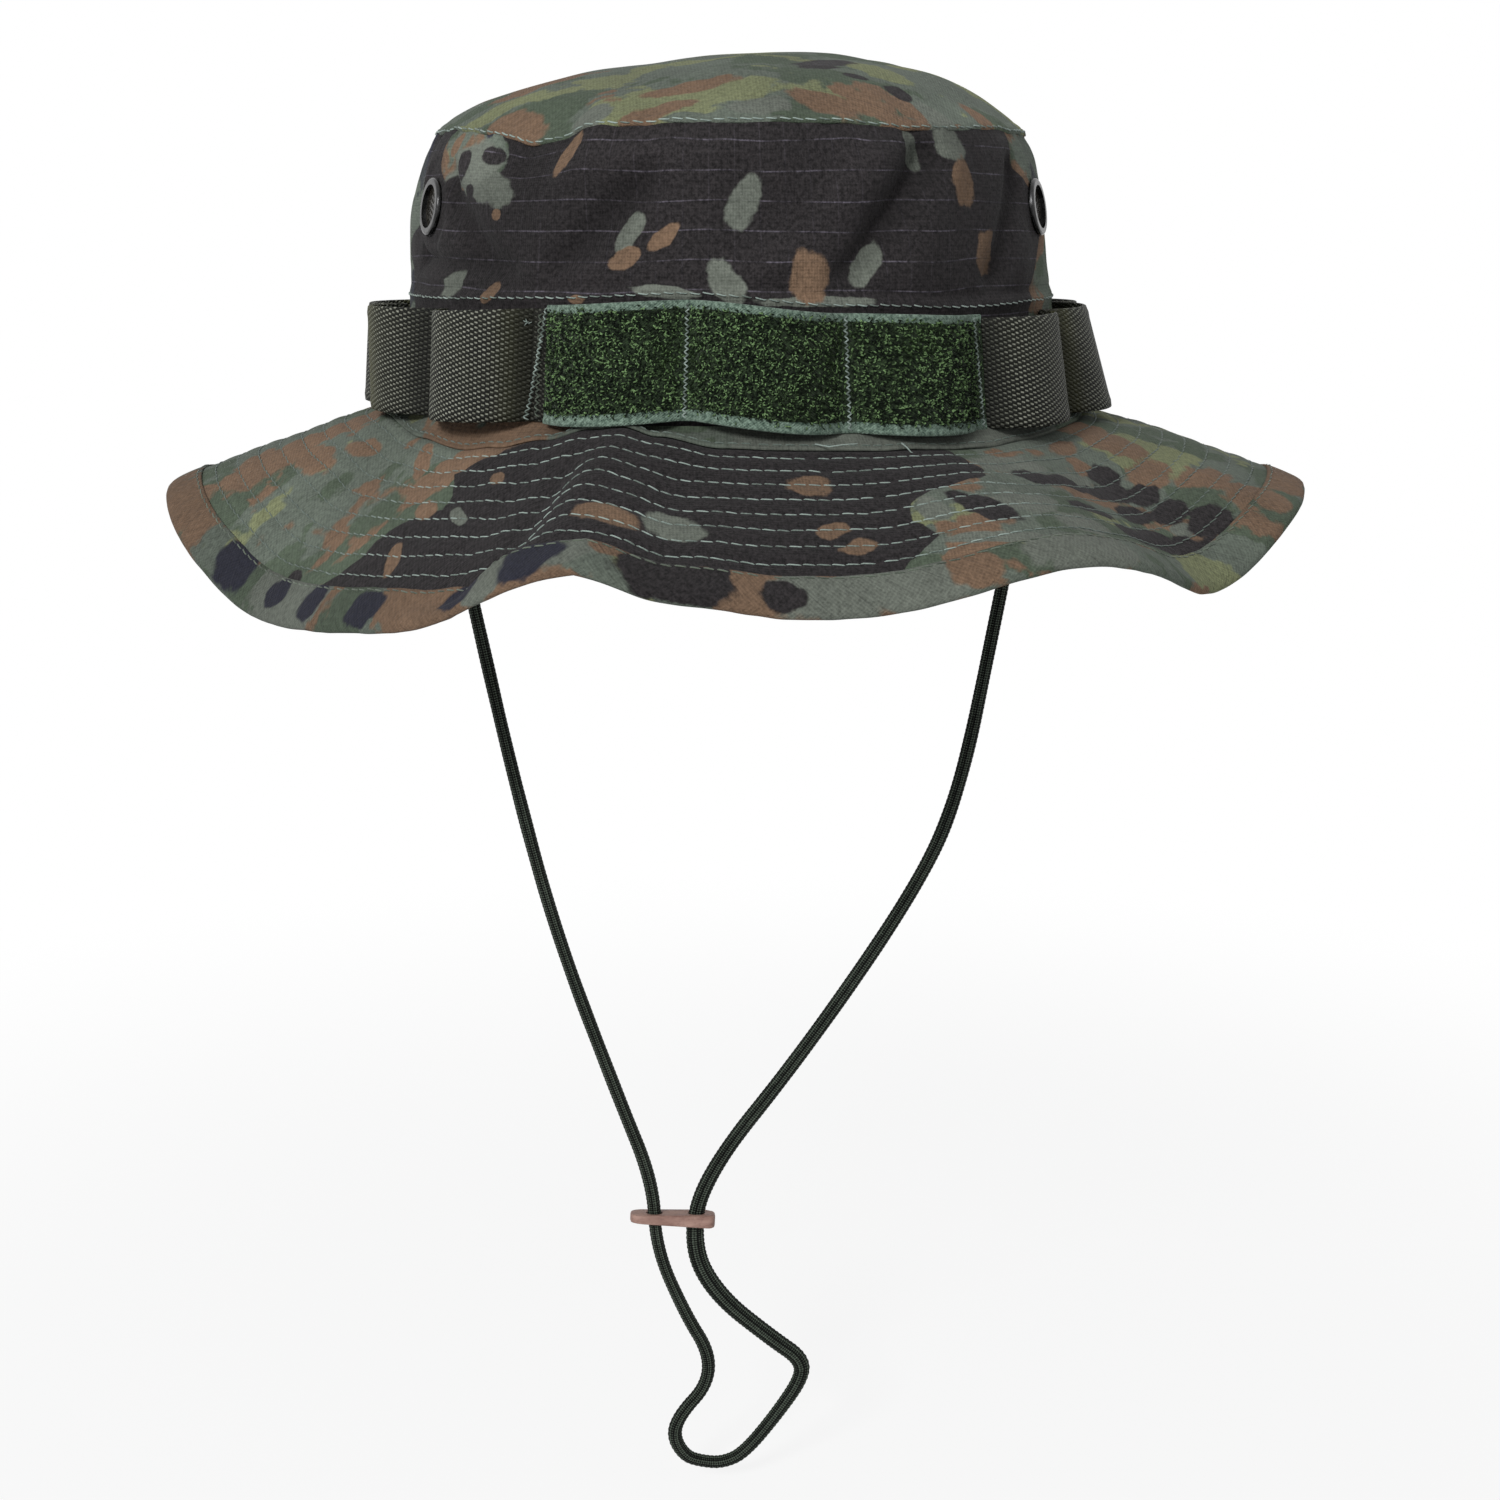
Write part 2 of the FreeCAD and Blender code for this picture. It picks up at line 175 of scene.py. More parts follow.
# How much lower the brim hangs in use than its plain drop, by angle in degrees.
SAG = ((-180, 0.0), (-145, 0.4), (-122, 1.9), (-104, 1.9), (-92, 0.9), (-78, -0.2), (-70, 0.2), (-60, 1.7),
       (-48, 0.9), (-40, 0.8), (-29, 1.9), (-17, 0.2), (-4, 0.9), (3, 0.5), (12, 1.5), (25, 0.5), (30, 0.9),
       (38, 0.4), (50, 2.4), (64, 1.3), (76, -0.8), (100, -1.3), (118, -0.8), (140, 0.0), (180, 0.0))


def sag(deg):
    """The table, with the narrow dip left of the front ridge."""
    d = wrapped(deg)
    return smooth_table(d, SAG) + 2.35 * math.exp(-((d + 9.8) / 3.5) ** 2)


def creased(deg, share):
    """The sharp fold left of the front ridge, and the peak where it meets the edge."""
    deg = wrapped(deg)
    if deg < -60.0 or deg > 20.0:
        return 0.0
    turn = deg + 23.5 + 4.5 * eased(share, 0.72, 0.92)
    strong = eased(share, 0.08, 0.35) * (1.0 - eased(share, 0.88, 1.0))
    fold = -2.0 * math.exp(-(turn / 2.0) ** 2) - 1.2 * math.exp(-((turn + 3.0) / 5.0) ** 2)
    fold += 1.1 * math.exp(-((turn - 4.5) / 2.8) ** 2)
    return fold * strong + 0.9 * math.exp(-abs(deg + 15.5) / 2.2) * eased(share, 0.55, 1.0)


def brim_point(phi, share, lift):
    s, c = math.sin(phi), math.cos(phi)
    nx, ny = DEPTH_RATIO * s, -c
    size = math.hypot(nx, ny)
    d = brim_drop(phi)
    run = share * math.sqrt(BRIM_WIDTH ** 2 - d * d)
    wave = smooth_table(math.degrees(phi), HEM_WAVE) * (1.0 - min(max(share, 0.0), 1.0)) ** 1.3
    z = lift + wave - d * share * (0.75 + 0.25 * share) + creased(math.degrees(phi), share)
    z -= sag(math.degrees(phi)) * eased(share, 0.0, 0.45)
    return np.array((BRIM_BASE * s + nx / size * run, -BRIM_BASE * DEPTH_RATIO * c + ny / size * run, z))


# ---------------------------------------------------------------- meshes
def new_object(name, data):
    ob = bpy.data.objects.new(name, data)
    bpy.context.scene.collection.objects.link(ob)
    return ob


def piece(name, points, faces, material, body="hat", fields=None, replaces=(), slot=None, ride=True):
    mesh = bpy.data.meshes.new(name)
    mesh.from_pydata((np.asarray(points, float) * MM).tolist(), [], faces)
    mesh.shade_smooth()
    mesh.materials.append(material)
    for key, values in (fields or {}).items():
        values = np.asarray(values, np.float32)
        kind = "FLOAT_VECTOR" if values.ndim == 2 else "FLOAT"
        attribute = mesh.attributes.new(key, kind, "POINT")
        attribute.data.foreach_set("vector" if values.ndim == 2 else "value", values.ravel())
    mesh.update()
    ob = new_object(name, mesh)
    if ride:
        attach(ob, body)
    if replaces:
        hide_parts(*replaces)
    return ob


def grid_faces(rows, cols, wrap=False, flip=False, keep=None):
    faces = []
    for r in range(rows - 1):
        for c in range(cols if wrap else cols - 1):
            d = (c + 1) % cols
            if keep is None or keep(r, c):
                f = (r * cols + c, r * cols + d, (r + 1) * cols + d, (r + 1) * cols + c)
                faces.append(f[::-1] if flip else f)
    return faces


def thicken(ob, thickness):
    m = ob.modifiers.new("thickness", "SOLIDIFY")
    m.thickness = thickness * MM
    m.offset = -1.0


def angles(count):
    """Directions right round the hat and back to the first, which is at the back."""
    return [-math.pi + TAU * i / count for i in range(count + 1)]


def ring_line(count, place, turn=0.0):
    """What place(angle) gives right round the hat, from the front plus a turn."""
    return [place(TAU * i / count + turn) for i in range(count + 1)]


class Bundle:
    """Many small threads gathered in one mesh, each with its own tone."""

    def __init__(self):
        self.points = []
        self.faces = []
        self.tone = []

    def tube(self, path, radii, sides=5, tone=None, cap=True):
        path = np.asarray(path, float)
        tangent = np.gradient(path, axis=0)
        tangent /= np.maximum(np.linalg.norm(tangent, axis=1, keepdims=True), 1e-9)
        helper = np.array((0.0, 0.0, 1.0)) if abs(tangent[0][2]) < 0.8 else np.array((1.0, 0.0, 0.0))
        side = np.cross(helper, tangent)
        side /= np.maximum(np.linalg.norm(side, axis=1, keepdims=True), 1e-9)
        over = np.cross(tangent, side)
        first = len(self.points)
        tone = random.random() if tone is None else tone
        for i in range(len(path)):
            for k in range(sides):
                a = TAU * k / sides
                self.points.append(path[i] + radii[i] * (math.cos(a) * side[i] + math.sin(a) * over[i]))
                self.tone.append(tone)
        for i in range(len(path) - 1):
            for k in range(sides):
                j = (k + 1) % sides
                a = first + i * sides
                self.faces.append((a + k, a + j, a + sides + j, a + sides + k))
        if cap:
            last = first + (len(path) - 1) * sides
            self.faces.append(tuple(first + k for k in range(sides))[::-1])
            self.faces.append(tuple(last + k for k in range(sides)))

    def piece(self, name, material, **more):
        return piece(name, self.points, self.faces, material, fields={"tone": self.tone}, **more)


def run_stitches(bundle, line, length=2.9, gap=0.26, radius=0.16, dive=0.16, faint=None):
    """Lock stitches along a line of (point, outward) pairs; faint(point) from 0 to 1 darkens them."""
    pts = np.array([p for p, _ in line])
    outs = np.array([o for _, o in line])
    steps = np.linalg.norm(np.diff(pts, axis=0), axis=1)
    s = np.concatenate(([0.0], np.cumsum(steps)))
    at = 0.0
    while at + length < s[-1]:
        size = length * (0.92 + 0.16 * random.random())
        shares = np.array((0.0, 0.16, 0.5, 0.84, 1.0))
        where = at + shares * size
        p = np.stack([np.interp(where, s, pts[:, k]) for k in range(3)], 1)
        o = np.stack([np.interp(where, s, outs[:, k]) for k in range(3)], 1)
        rise = np.array((-dive, 0.35 * radius, 0.55 * radius, 0.35 * radius, -dive))
        side = np.cross(p[-1] - p[0], o[2])
        side /= max(np.linalg.norm(side), 1e-9)
        stray = np.array((-0.5, -0.2, 0.2, 0.5, 0.2)) * 0.35 + random.random() * 0.2 - 0.1
        p = p + o * rise[:, None] + side * stray[:, None]
        tone = 0.25 + 0.75 * random.random()
        if faint is not None:
            tone *= 1.0 - faint(p[2])
        bundle.tube(p, radius * np.array((0.7, 1.0, 1.05, 1.0, 0.7)), sides=5, tone=tone, cap=False)
        at += size + gap * (0.8 + 0.4 * random.random())


# ---------------------------------------------------------------- shaders
def linear(rgb):
    out = []
    for v in rgb:
        v = v / 255.0
        out.append(v / 12.92 if v <= 0.04045 else ((v + 0.055) / 1.055) ** 2.4)
    return (*out, 1.0)


class Tree:
    """A cleared node tree with short ways to add and join its nodes."""

    def __init__(self, tree):
        self.tree = tree
        tree.nodes.clear()

    def add(self, kind, **props):
        node = self.tree.nodes.new(kind)
        for key, value in props.items():
            setattr(node, key, value)
        return node

    def put(self, socket, value):
        if isinstance(value, bpy.types.NodeSocket):
            self.tree.links.new(value, socket)
        else:
            socket.default_value = value

    def join(self, kind, *values):
        """A node with its first sockets filled in order; gives its output."""
        node = self.add(kind)
        for socket, value in zip(node.inputs, values):
            self.put(socket, value)
        return node.outputs[0]

    def math(self, op, a, b=0.0, c=0.0):
        node = self.add("ShaderNodeMath", operation=op)
        for socket, value in zip(node.inputs, (a, b, c)):
            self.put(socket, value)
        return node.outputs[0]

    def ramp(self, value, low, high, to_low=0.0, to_high=1.0):
        node = self.add("ShaderNodeMapRange", interpolation_type="SMOOTHSTEP")
        self.put(node.inputs["Value"], value)
        node.inputs["From Min"].default_value = low
        node.inputs["From Max"].default_value = high
        node.inputs["To Min"].default_value = to_low
        node.inputs["To Max"].default_value = to_high
        return node.outputs[0]


class Shader(Tree):
    """A Principled material built from nodes; sizes and bumps are in mm."""

    def __init__(self, name, rough=0.85, sheen=0.0, metal=0.0, spec=0.3):
        self.mat = bpy.data.materials.new(name)
        self.mat.use_nodes = True
        super().__init__(self.mat.node_tree)
        out = self.add("ShaderNodeOutputMaterial")
        self.bsdf = self.add("ShaderNodeBsdfPrincipled")
        self.bsdf.inputs["Roughness"].default_value = rough
        self.bsdf.inputs["Sheen Weight"].default_value = sheen
        self.bsdf.inputs["Metallic"].default_value = metal
        self.bsdf.inputs["Specular IOR Level"].default_value = spec
        self.tree.links.new(self.bsdf.outputs["BSDF"], out.inputs["Surface"])

    def field(self, name, vector=False):
        node = self.add("ShaderNodeAttribute", attribute_name=name)
        return node.outputs["Vector" if vector else "Fac"]

    def object_coords(self):
        return self.add("ShaderNodeTexCoord").outputs["Object"]

    def moved(self, at, scale=(1, 1, 1), by=(0, 0, 0), turn=(0, 0, 0)):
        node = self.add("ShaderNodeMapping")
        self.put(node.inputs["Vector"], at)
        node.inputs["Scale"].default_value = scale
        node.inputs["Location"].default_value = by
        node.inputs["Rotation"].default_value = turn
        return node.outputs[0]

    def noise(self, at, size, detail=2.0, rough=0.5, twist=0.0):
        """Noise whose features are about size mm across."""
        node = self.add("ShaderNodeTexNoise")
        self.put(node.inputs["Vector"], at)
        node.inputs["Scale"].default_value = 1000.0 / size
        node.inputs["Detail"].default_value = detail
        node.inputs["Roughness"].default_value = rough
        node.inputs["Distortion"].default_value = twist
        return node.outputs["Fac"]

    def cells(self, at, size):
        node = self.add("ShaderNodeTexVoronoi", feature="SMOOTH_F1")
        self.put(node.inputs["Vector"], at)
        node.inputs["Scale"].default_value = 1000.0 / size
        node.inputs["Smoothness"].default_value = 0.35
        return node.outputs["Distance"]

    def mix(self, fac, a, b, blend="MIX"):
        node = self.add("ShaderNodeMix", data_type="RGBA", blend_type=blend)
        self.put(node.inputs[0], fac)
        self.put(node.inputs[6], a)
        self.put(node.inputs[7], b)
        return node.outputs[2]

    def shaded(self, colour, shade):
        """The colour times a plain number."""
        grey = self.join("ShaderNodeCombineXYZ", shade, shade, shade)
        return self.mix(1.0, colour, grey, "MULTIPLY")

    def axes(self, at):
        node = self.add("ShaderNodeSeparateXYZ")
        self.put(node.inputs[0], at)
        return node.outputs

    def wave(self, value, pitch):
        """Sine of a coordinate in metres, with the pitch in mm."""
        return self.math("SINE", self.math("MULTIPLY", value, TAU * 1000.0 / pitch))

    def colour(self, value):
        self.put(self.bsdf.inputs["Base Color"], value)

    def rough(self, value):
        self.put(self.bsdf.inputs["Roughness"], value)

    def bump(self, height, mm, before=None):
        node = self.add("ShaderNodeBump")
        node.inputs["Strength"].default_value = 1.0
        node.inputs["Distance"].default_value = mm * MM
        self.put(node.inputs["Height"], height)
        if before is not None:
            self.put(node.inputs["Normal"], before)
        return node.outputs[0]

    def normal(self, value):
        self.put(self.bsdf.inputs["Normal"], value)


NEAR_BLACK = linear((43, 40, 41))
BLUE_BLACK = linear((42, 43, 54))
GREY_GREEN = linear((101, 109, 99))
FOREST = linear((82, 93, 78))
RUST = linear((122, 99, 80))
OLIVE = linear((126, 131, 98))
PALE_GREY = linear((110, 115, 106))


def camouflage(name):
    """Ripstop cotton with a plain woodland print: streaky patches and round specks."""
    s = Shader(name, rough=0.92, sheen=0.03, spec=0.18)
    cloth = s.field("cloth", vector=True)
    dark, rust, pale = s.field("dark"), s.field("rust"), s.field("pale")
    streaky = s.moved(cloth, scale=(1.0, 1.5, 1.0), turn=(0, 0, 0.5))
    edge = s.noise(cloth, 3.5, 2.0)
    fray = s.math("MULTIPLY", s.math("SUBTRACT", edge, 0.5), 0.15)

    def patch(size, seed, threshold, speck, lift=0.0):
        at = s.moved(streaky, by=(0.31 * seed, -0.17 * seed, 0.0))
        value = s.math("ADD", s.noise(at, size, 1.0, 0.4, 0.25), lift)
        dots = s.cells(s.moved(at, by=(0.05, 0.02, 0)), speck)
        value = s.math("ADD", value, s.math("MULTIPLY_ADD", dots, -0.16, 0.06))
        value = s.math("ADD", value, fray)
        return s.ramp(value, threshold - 0.016, threshold + 0.016)

    def spot(field):
        wobble = s.math("SUBTRACT", s.noise(cloth, 5.0, 2.0), 0.5)
        grown = s.math("ADD", field, s.math("MULTIPLY", wobble, 0.5))
        return s.ramp(grown, 0.44, 0.56)

    sun = s.math("MULTIPLY", s.field("sun"), 0.1)
    green = s.mix(patch(38.0, 1.0, 0.50, 11.0), GREY_GREEN, FOREST)
    colour = s.mix(patch(36.0, 3.0, 0.60, 9.0, lift=sun), green, OLIVE)
    colour = s.mix(patch(42.0, 2.0, 0.545, 12.0, lift=s.math("MULTIPLY", sun, -0.8)), colour, RUST)
    colour = s.mix(spot(s.field("calm")), colour, green)
    natural = patch(32.0, 4.0, 0.60, 9.0)
    calm = s.ramp(dark, -0.6, -0.1)
    natural = s.math("MULTIPLY", natural, calm)
    black = s.math("MAXIMUM", natural, spot(dark))
    ink = s.mix(s.ramp(dark, 0.1, 0.3), BLUE_BLACK, NEAR_BLACK)
    colour = s.mix(black, colour, ink)
    colour = s.mix(spot(pale), colour, PALE_GREY)
    colour = s.mix(spot(rust), colour, RUST)
    dots, blue = spot(s.field("dots")), spot(s.field("blue"))
    colour = s.mix(blue, colour, BLUE_BLACK)
    colour = s.mix(dots, colour, NEAR_BLACK)
    covered = s.math("MAXIMUM", spot(pale), spot(rust))
    black = s.math("MAXIMUM", s.math("MULTIPLY", black, s.math("SUBTRACT", 1.0, covered)), dots)
    u, v, _ = s.axes(cloth)
    drift = s.math("MULTIPLY_ADD", s.noise(cloth, 45.0, 1.0), 0.004, v)
    line_v = s.ramp(s.wave(drift, 6.6), 0.978, 0.998)
    line_u = s.ramp(s.wave(u, 6.6), 0.98, 0.999)
    lines = s.math("MAXIMUM", line_v, s.math("MULTIPLY", line_u, 0.16))
    broken = s.math("MULTIPLY", lines, s.ramp(s.noise(cloth, 7.0, 3.0, 0.6), 0.36, 0.62, 0.15, 1.0))
    inked = s.math("MULTIPLY_ADD", black, 0.34, 0.03)
    inked = s.math("MULTIPLY", inked, s.math("SUBTRACT", 1.0, s.field("plain")))
    colour = s.mix(s.math("MULTIPLY", broken, inked), colour, linear((128, 122, 136)))
    weave = s.math("MULTIPLY", s.wave(s.math("ADD", u, v), 1.5), s.wave(s.math("SUBTRACT", u, v), 1.5))
    fluff = s.noise(cloth, 1.1, 4.0, 0.75)
    worn = s.noise(cloth, 20.0, 3.0, 0.6)
    grain = s.ramp(fluff, 0.3, 0.7, -1.0, 1.0)
    tone = s.math("MULTIPLY", grain, s.math("MULTIPLY_ADD", black, 0.44, 0.26))
    tone = s.math("MULTIPLY_ADD", weave, 0.12, tone)
    tone = s.math("ADD", tone, s.math("MULTIPLY_ADD", worn, 0.9, -0.45))
    # The field multiplied in here is painted shade: it darkens the cloth in folds, towards the sides of the
    # black front, and over the dome, hem, brim and binding.
    shade = s.math("MULTIPLY", s.math("ADD", tone, 1.0), s.math("MULTIPLY_ADD", s.field("painted_shade"), -0.4, 1.0))
    s.colour(s.shaded(colour, shade))
    s.rough(s.ramp(worn, 0.3, 0.7, 0.86, 0.96))
    creased = s.bump(s.noise(cloth, 9.0, 3.0, 0.55), 1.3)
    raised = s.math("ADD", s.math("MULTIPLY", weave, 0.5), s.math("MULTIPLY", lines, 0.9))
    threads = s.bump(raised, 0.09, creased)
    s.normal(s.bump(fluff, 0.35, threads))
    return s.mat


def plain_cloth(name, colour, second, pitch=0.9):
    """A plain dyed tape or lining with a fine diagonal twill."""
    s = Shader(name, rough=0.9, sheen=0.1, spec=0.2)
    cloth = s.field("cloth", vector=True)
    u, v, _ = s.axes(cloth)
    twill = s.wave(s.math("ADD", u, v), pitch)
    fluff = s.noise(cloth, 0.8, 3.0, 0.7)
    worn = s.noise(cloth, 18.0, 3.0, 0.6)
    tone = s.math("ADD", s.math("MULTIPLY", twill, 0.12), s.math("ADD", s.math("MULTIPLY", fluff, 0.5), worn))
    s.colour(s.mix(s.ramp(tone, 0.45, 1.05), colour, second))
    s.rough(s.ramp(worn, 0.3, 0.7, 0.84, 0.95))
    s.normal(s.bump(fluff, 0.12, s.bump(twill, 0.08, s.bump(worn, 0.7))))
    return s.mat


def webbing_cloth(name):
    """Nylon webbing: dark ribs with pale staggered floats, a painted olive highlight where it turns and
    painted shade near the tacks.
    """
    s = Shader(name, rough=0.65, spec=0.2)
    cloth = s.field("cloth", vector=True)
    painted_olive_highlight = s.field("painted_olive_highlight")
    u, v, _ = s.axes(cloth)
    column = s.wave(u, 2.1)
    stagger = s.math("MULTIPLY", s.ramp(column, -0.15, 0.15), math.pi)
    rows = s.math("MULTIPLY_ADD", v, TAU * 1000.0 / 1.15, stagger)
    slanted = s.math("MULTIPLY_ADD", u, TAU * 1000.0 / 4.6, rows)
    floats = s.math("MULTIPLY", s.math("SINE", slanted), s.ramp(s.math("ABSOLUTE", column), 0.1, 0.7))
    mess = s.noise(cloth, 0.9, 2.0, 0.6)
    worn = s.noise(cloth, 14.0, 3.0, 0.6)
    lit = s.ramp(s.math("MULTIPLY_ADD", mess, 0.9, floats), 0.62, 1.15)
    base = s.mix(s.ramp(worn, 0.35, 0.65), linear((11, 12, 9)), linear((26, 27, 21)))
    lit_colour = s.mix(s.ramp(mess, 0.3, 0.7), linear((112, 114, 101)), linear((168, 170, 156)))
    colour = s.mix(s.math("MULTIPLY", lit, 0.9), base, lit_colour)
    # Painted highlight: an olive tint where the webbing turns towards its tacks.
    green = s.math("MULTIPLY", painted_olive_highlight, s.ramp(mess, 0.2, 0.8, 0.55, 0.95))
    colour = s.mix(green, colour, linear((76, 76, 38)))
    # Painted shade: the deep field darkens the webbing near its tacks and over the loops on the right.
    s.colour(s.mix(s.math("MULTIPLY", s.field("deep"), 0.8), colour, linear((16, 17, 13))))
    s.rough(s.ramp(mess, 0.3, 0.7, 0.55, 0.75))
    s.normal(s.bump(mess, 0.08, s.bump(floats, 0.22)))
    return s.mat


def pile_cloth(name):
    """Loop pile: crinkled dark green yarn, each loop its own tone."""
    s = Shader(name, rough=0.85, sheen=0.05, spec=0.12)
    at = s.object_coords()
    tone = s.field("tone")
    clump = s.noise(at, 2.2, 3.0, 0.65)
    drift = s.noise(at, 24.0, 2.0, 0.5)
    value = s.math("ADD", s.math("MULTIPLY", tone, 0.8), s.math("MULTIPLY_ADD", clump, 1.3, -0.6))
    colour = s.mix(s.ramp(value, 0.34, 1.0), linear((3, 15, 3)), linear((128, 160, 108)))
    s.colour(s.mix(s.ramp(drift, 0.5, 0.72, 0.0, 0.35), colour, linear((38, 60, 16))))
    s.rough(s.ramp(clump, 0.3, 0.7, 0.7, 0.9))
    s.normal(s.bump(s.noise(at, 0.35, 2.0), 0.06))
    return s.mat


def tape_base(name):
    """The tape's woven ground, dark under the pile and teal along both edges."""
    s = Shader(name, rough=0.85, sheen=0.1, spec=0.25)
    cloth = s.field("cloth", vector=True)
    u, v, _ = s.axes(cloth)
    edge = s.field("edge")
    ribs = s.math("MULTIPLY", s.wave(u, 0.8), s.wave(v, 0.6))
    fuzz = s.noise(cloth, 0.9, 3.0, 0.7)
    wisps = s.noise(s.moved(cloth, scale=(0.5, 1.6, 1.0)), 2.4, 3.0, 0.7)
    teal = s.mix(s.ramp(fuzz, 0.3, 0.75), linear((54, 74, 62)), linear((142, 164, 148)))
    ground = s.mix(s.ramp(fuzz, 0.3, 0.7), linear((8, 20, 6)), linear((44, 62, 36)))
    split = s.ramp(s.math("MULTIPLY_ADD", wisps, 0.7, s.math("SUBTRACT", edge, 0.35)), 0.4, 0.6)
    s.colour(s.mix(split, ground, teal))
    s.rough(s.ramp(fuzz, 0.3, 0.7, 0.78, 0.92))
    s.normal(s.bump(fuzz, 0.2, s.bump(ribs, 0.12)))
    return s.mat


def thread_yarn(name, low, high):
    s = Shader(name, rough=0.7, sheen=0.2, spec=0.3)
    at = s.object_coords()
    tone = s.field("tone")
    fuzz = s.noise(at, 0.5, 2.0, 0.6)
    value = s.math("MULTIPLY_ADD", fuzz, 0.9, s.math("MULTIPLY_ADD", tone, 0.7, -0.35))
    s.colour(s.mix(s.ramp(value, 0.1, 0.8), low, high))
    s.rough(s.ramp(fuzz, 0.3, 0.7, 0.6, 0.8))
    s.normal(s.bump(fuzz, 0.05))
    return s.mat


def plaited_nylon(name):
    """Round plait: two sets of crossing strands that pass over and under."""
    s = Shader(name, rough=0.7, spec=0.12)
    braid = s.field("braid", vector=True)
    u, v, _ = s.axes(braid)
    one = s.wave(s.math("ADD", u, v), 1.413)
    two = s.wave(s.math("SUBTRACT", u, v), 1.413)
    cross = s.math("MULTIPLY", one, two)
    fuzz = s.noise(s.object_coords(), 0.6, 3.0, 0.7)
    slow = s.noise(s.object_coords(), 16.0, 2.0, 0.6)
    ribs = s.wave(v, 1.885)
    value = s.math("MULTIPLY_ADD", fuzz, 1.0, s.math("MULTIPLY", slow, 0.35))
    value = s.math("MULTIPLY_ADD", cross, 0.5, value)
    value = s.math("MULTIPLY_ADD", ribs, 0.22, value)
    s.colour(s.mix(s.ramp(value, 0.5, 1.25), linear((2, 3, 2)), linear((94, 104, 92))))
    s.rough(s.ramp(fuzz, 0.3, 0.7, 0.6, 0.85))
    s.normal(s.bump(fuzz, 0.08, s.bump(cross, 0.22)))
    return s.mat


def leather(name):
    s = Shader(name, rough=0.55, spec=0.4)
    at = s.object_coords()
    grain = s.cells(at, 0.9)
    fine = s.noise(at, 0.5, 3.0, 0.7)
    stain = s.noise(s.moved(at, scale=(0.4, 1.0, 1.4)), 5.0, 3.0, 0.6)
    colour = s.mix(s.ramp(stain, 0.3, 0.7), linear((120, 88, 78)), linear((170, 138, 126)))
    dust = s.ramp(s.math("MULTIPLY_ADD", fine, 0.6, grain), 0.2, 0.8, 0.85, 1.1)
    s.colour(s.shaded(colour, dust))
    s.rough(s.ramp(stain, 0.3, 0.7, 0.5, 0.7))
    s.normal(s.bump(fine, 0.08, s.bump(grain, 0.12)))
    return s.mat


def enamel(name, low, high, metal=0.5):
    s = Shader(name, rough=0.35, metal=metal, spec=0.5)
    at = s.object_coords()
    scuff = s.noise(at, 3.0, 4.0, 0.7)
    fine = s.noise(at, 0.6, 3.0, 0.6)
    s.colour(s.mix(s.ramp(s.math("MULTIPLY_ADD", fine, 0.3, scuff), 0.55, 0.95), low, high))
    s.rough(s.ramp(scuff, 0.3, 0.7, 0.16, 0.36))
    s.normal(s.bump(fine, 0.03))
    return s.mat


CAMO = camouflage("camouflage_cloth")
BAND = plain_cloth("sweatband_cloth", linear((74, 80, 62)), linear((104, 108, 86)))
WEBBING = webbing_cloth("nylon_webbing")
PILE = pile_cloth("loop_pile")
TAPE = tape_base("loop_tape_ground")
YARN = thread_yarn("thread", linear((80, 92, 84)), linear((152, 167, 160)))
DARK_YARN = thread_yarn("dark_thread", linear((52, 60, 50)), linear((96, 106, 92)))
PLAIT = plaited_nylon("plaited_nylon")
LEATHER = leather("brown_leather")
ENAMEL = enamel("black_enamel", linear((14, 14, 14)), linear((58, 58, 60)), 0.2)
MESH_METAL = enamel("dark_mesh", linear((34, 31, 27)), linear((58, 55, 49)), 0.2)

# ---------------------------------------------------------------- camera
cam = new_object("Camera", bpy.data.cameras.new("Camera"))
STAND_OFF, SWING, EYE_HEIGHT = 0.6, math.radians(-3.4), 0.04614
LOOK_DOWN, LOOK_ASIDE, LENS = 13.279, -3.894, 52.906
cam.location = (STAND_OFF * math.sin(SWING), -STAND_OFF * math.cos(SWING), EYE_HEIGHT)
cam.rotation_euler = (math.radians(90.0 - LOOK_DOWN), 0.0, math.radians(LOOK_ASIDE))
cam.data.sensor_width = 36.0
cam.data.lens = LENS
cam.data.clip_start = 0.01
cam.data.clip_end = 20.0
bpy.context.scene.camera = cam

# ---------------------------------------------------------------- chin cord
CORD_DIAMETER = 3.6
SLIDE_Z = -236.4
CORD_END = -1.0
CORD_RIGHT = ((-76.5, 0, -22), (-69.5, 0.6, -59), (-60, -0.8, -106), (-49.5, 0.7, -150), (-33, -0.5, -198),
              (-23.2, 0, -225), (-22.6, 0, -246), (-14, 0.8, -268), (-6.9, 1.4, -281), (-7.6, 0.4, -291),
              (-15.8, -1.0, -299.6), (-18.2, -1.2, -306.5), (-14.6, -0.4, -314.0), (-9.4, 0.4, -316.4))
CORD_LEFT = ((79.8, 0, -24), (73.8, 0.7, -59), (64.5, -0.8, -109), (53, 0.6, -137), (21, -0.6, -185),
             (-8.8, 0, -224), (-12.2, 0, -246), (-4.5, -0.8, -261.5), (12.5, 0.6, -277.2),
             (20.4, 1.2, -283.6), (21.2, 1.0, -289.6), (13.6, 0.2, -301.0), (3.4, -0.6, -313.6),
             (-3.2, -0.2, -316.8))
ROUTE = ((-82.5, 0, CORD_END),) + CORD_RIGHT + CORD_LEFT[::-1] + ((82.5, 0, CORD_END),)


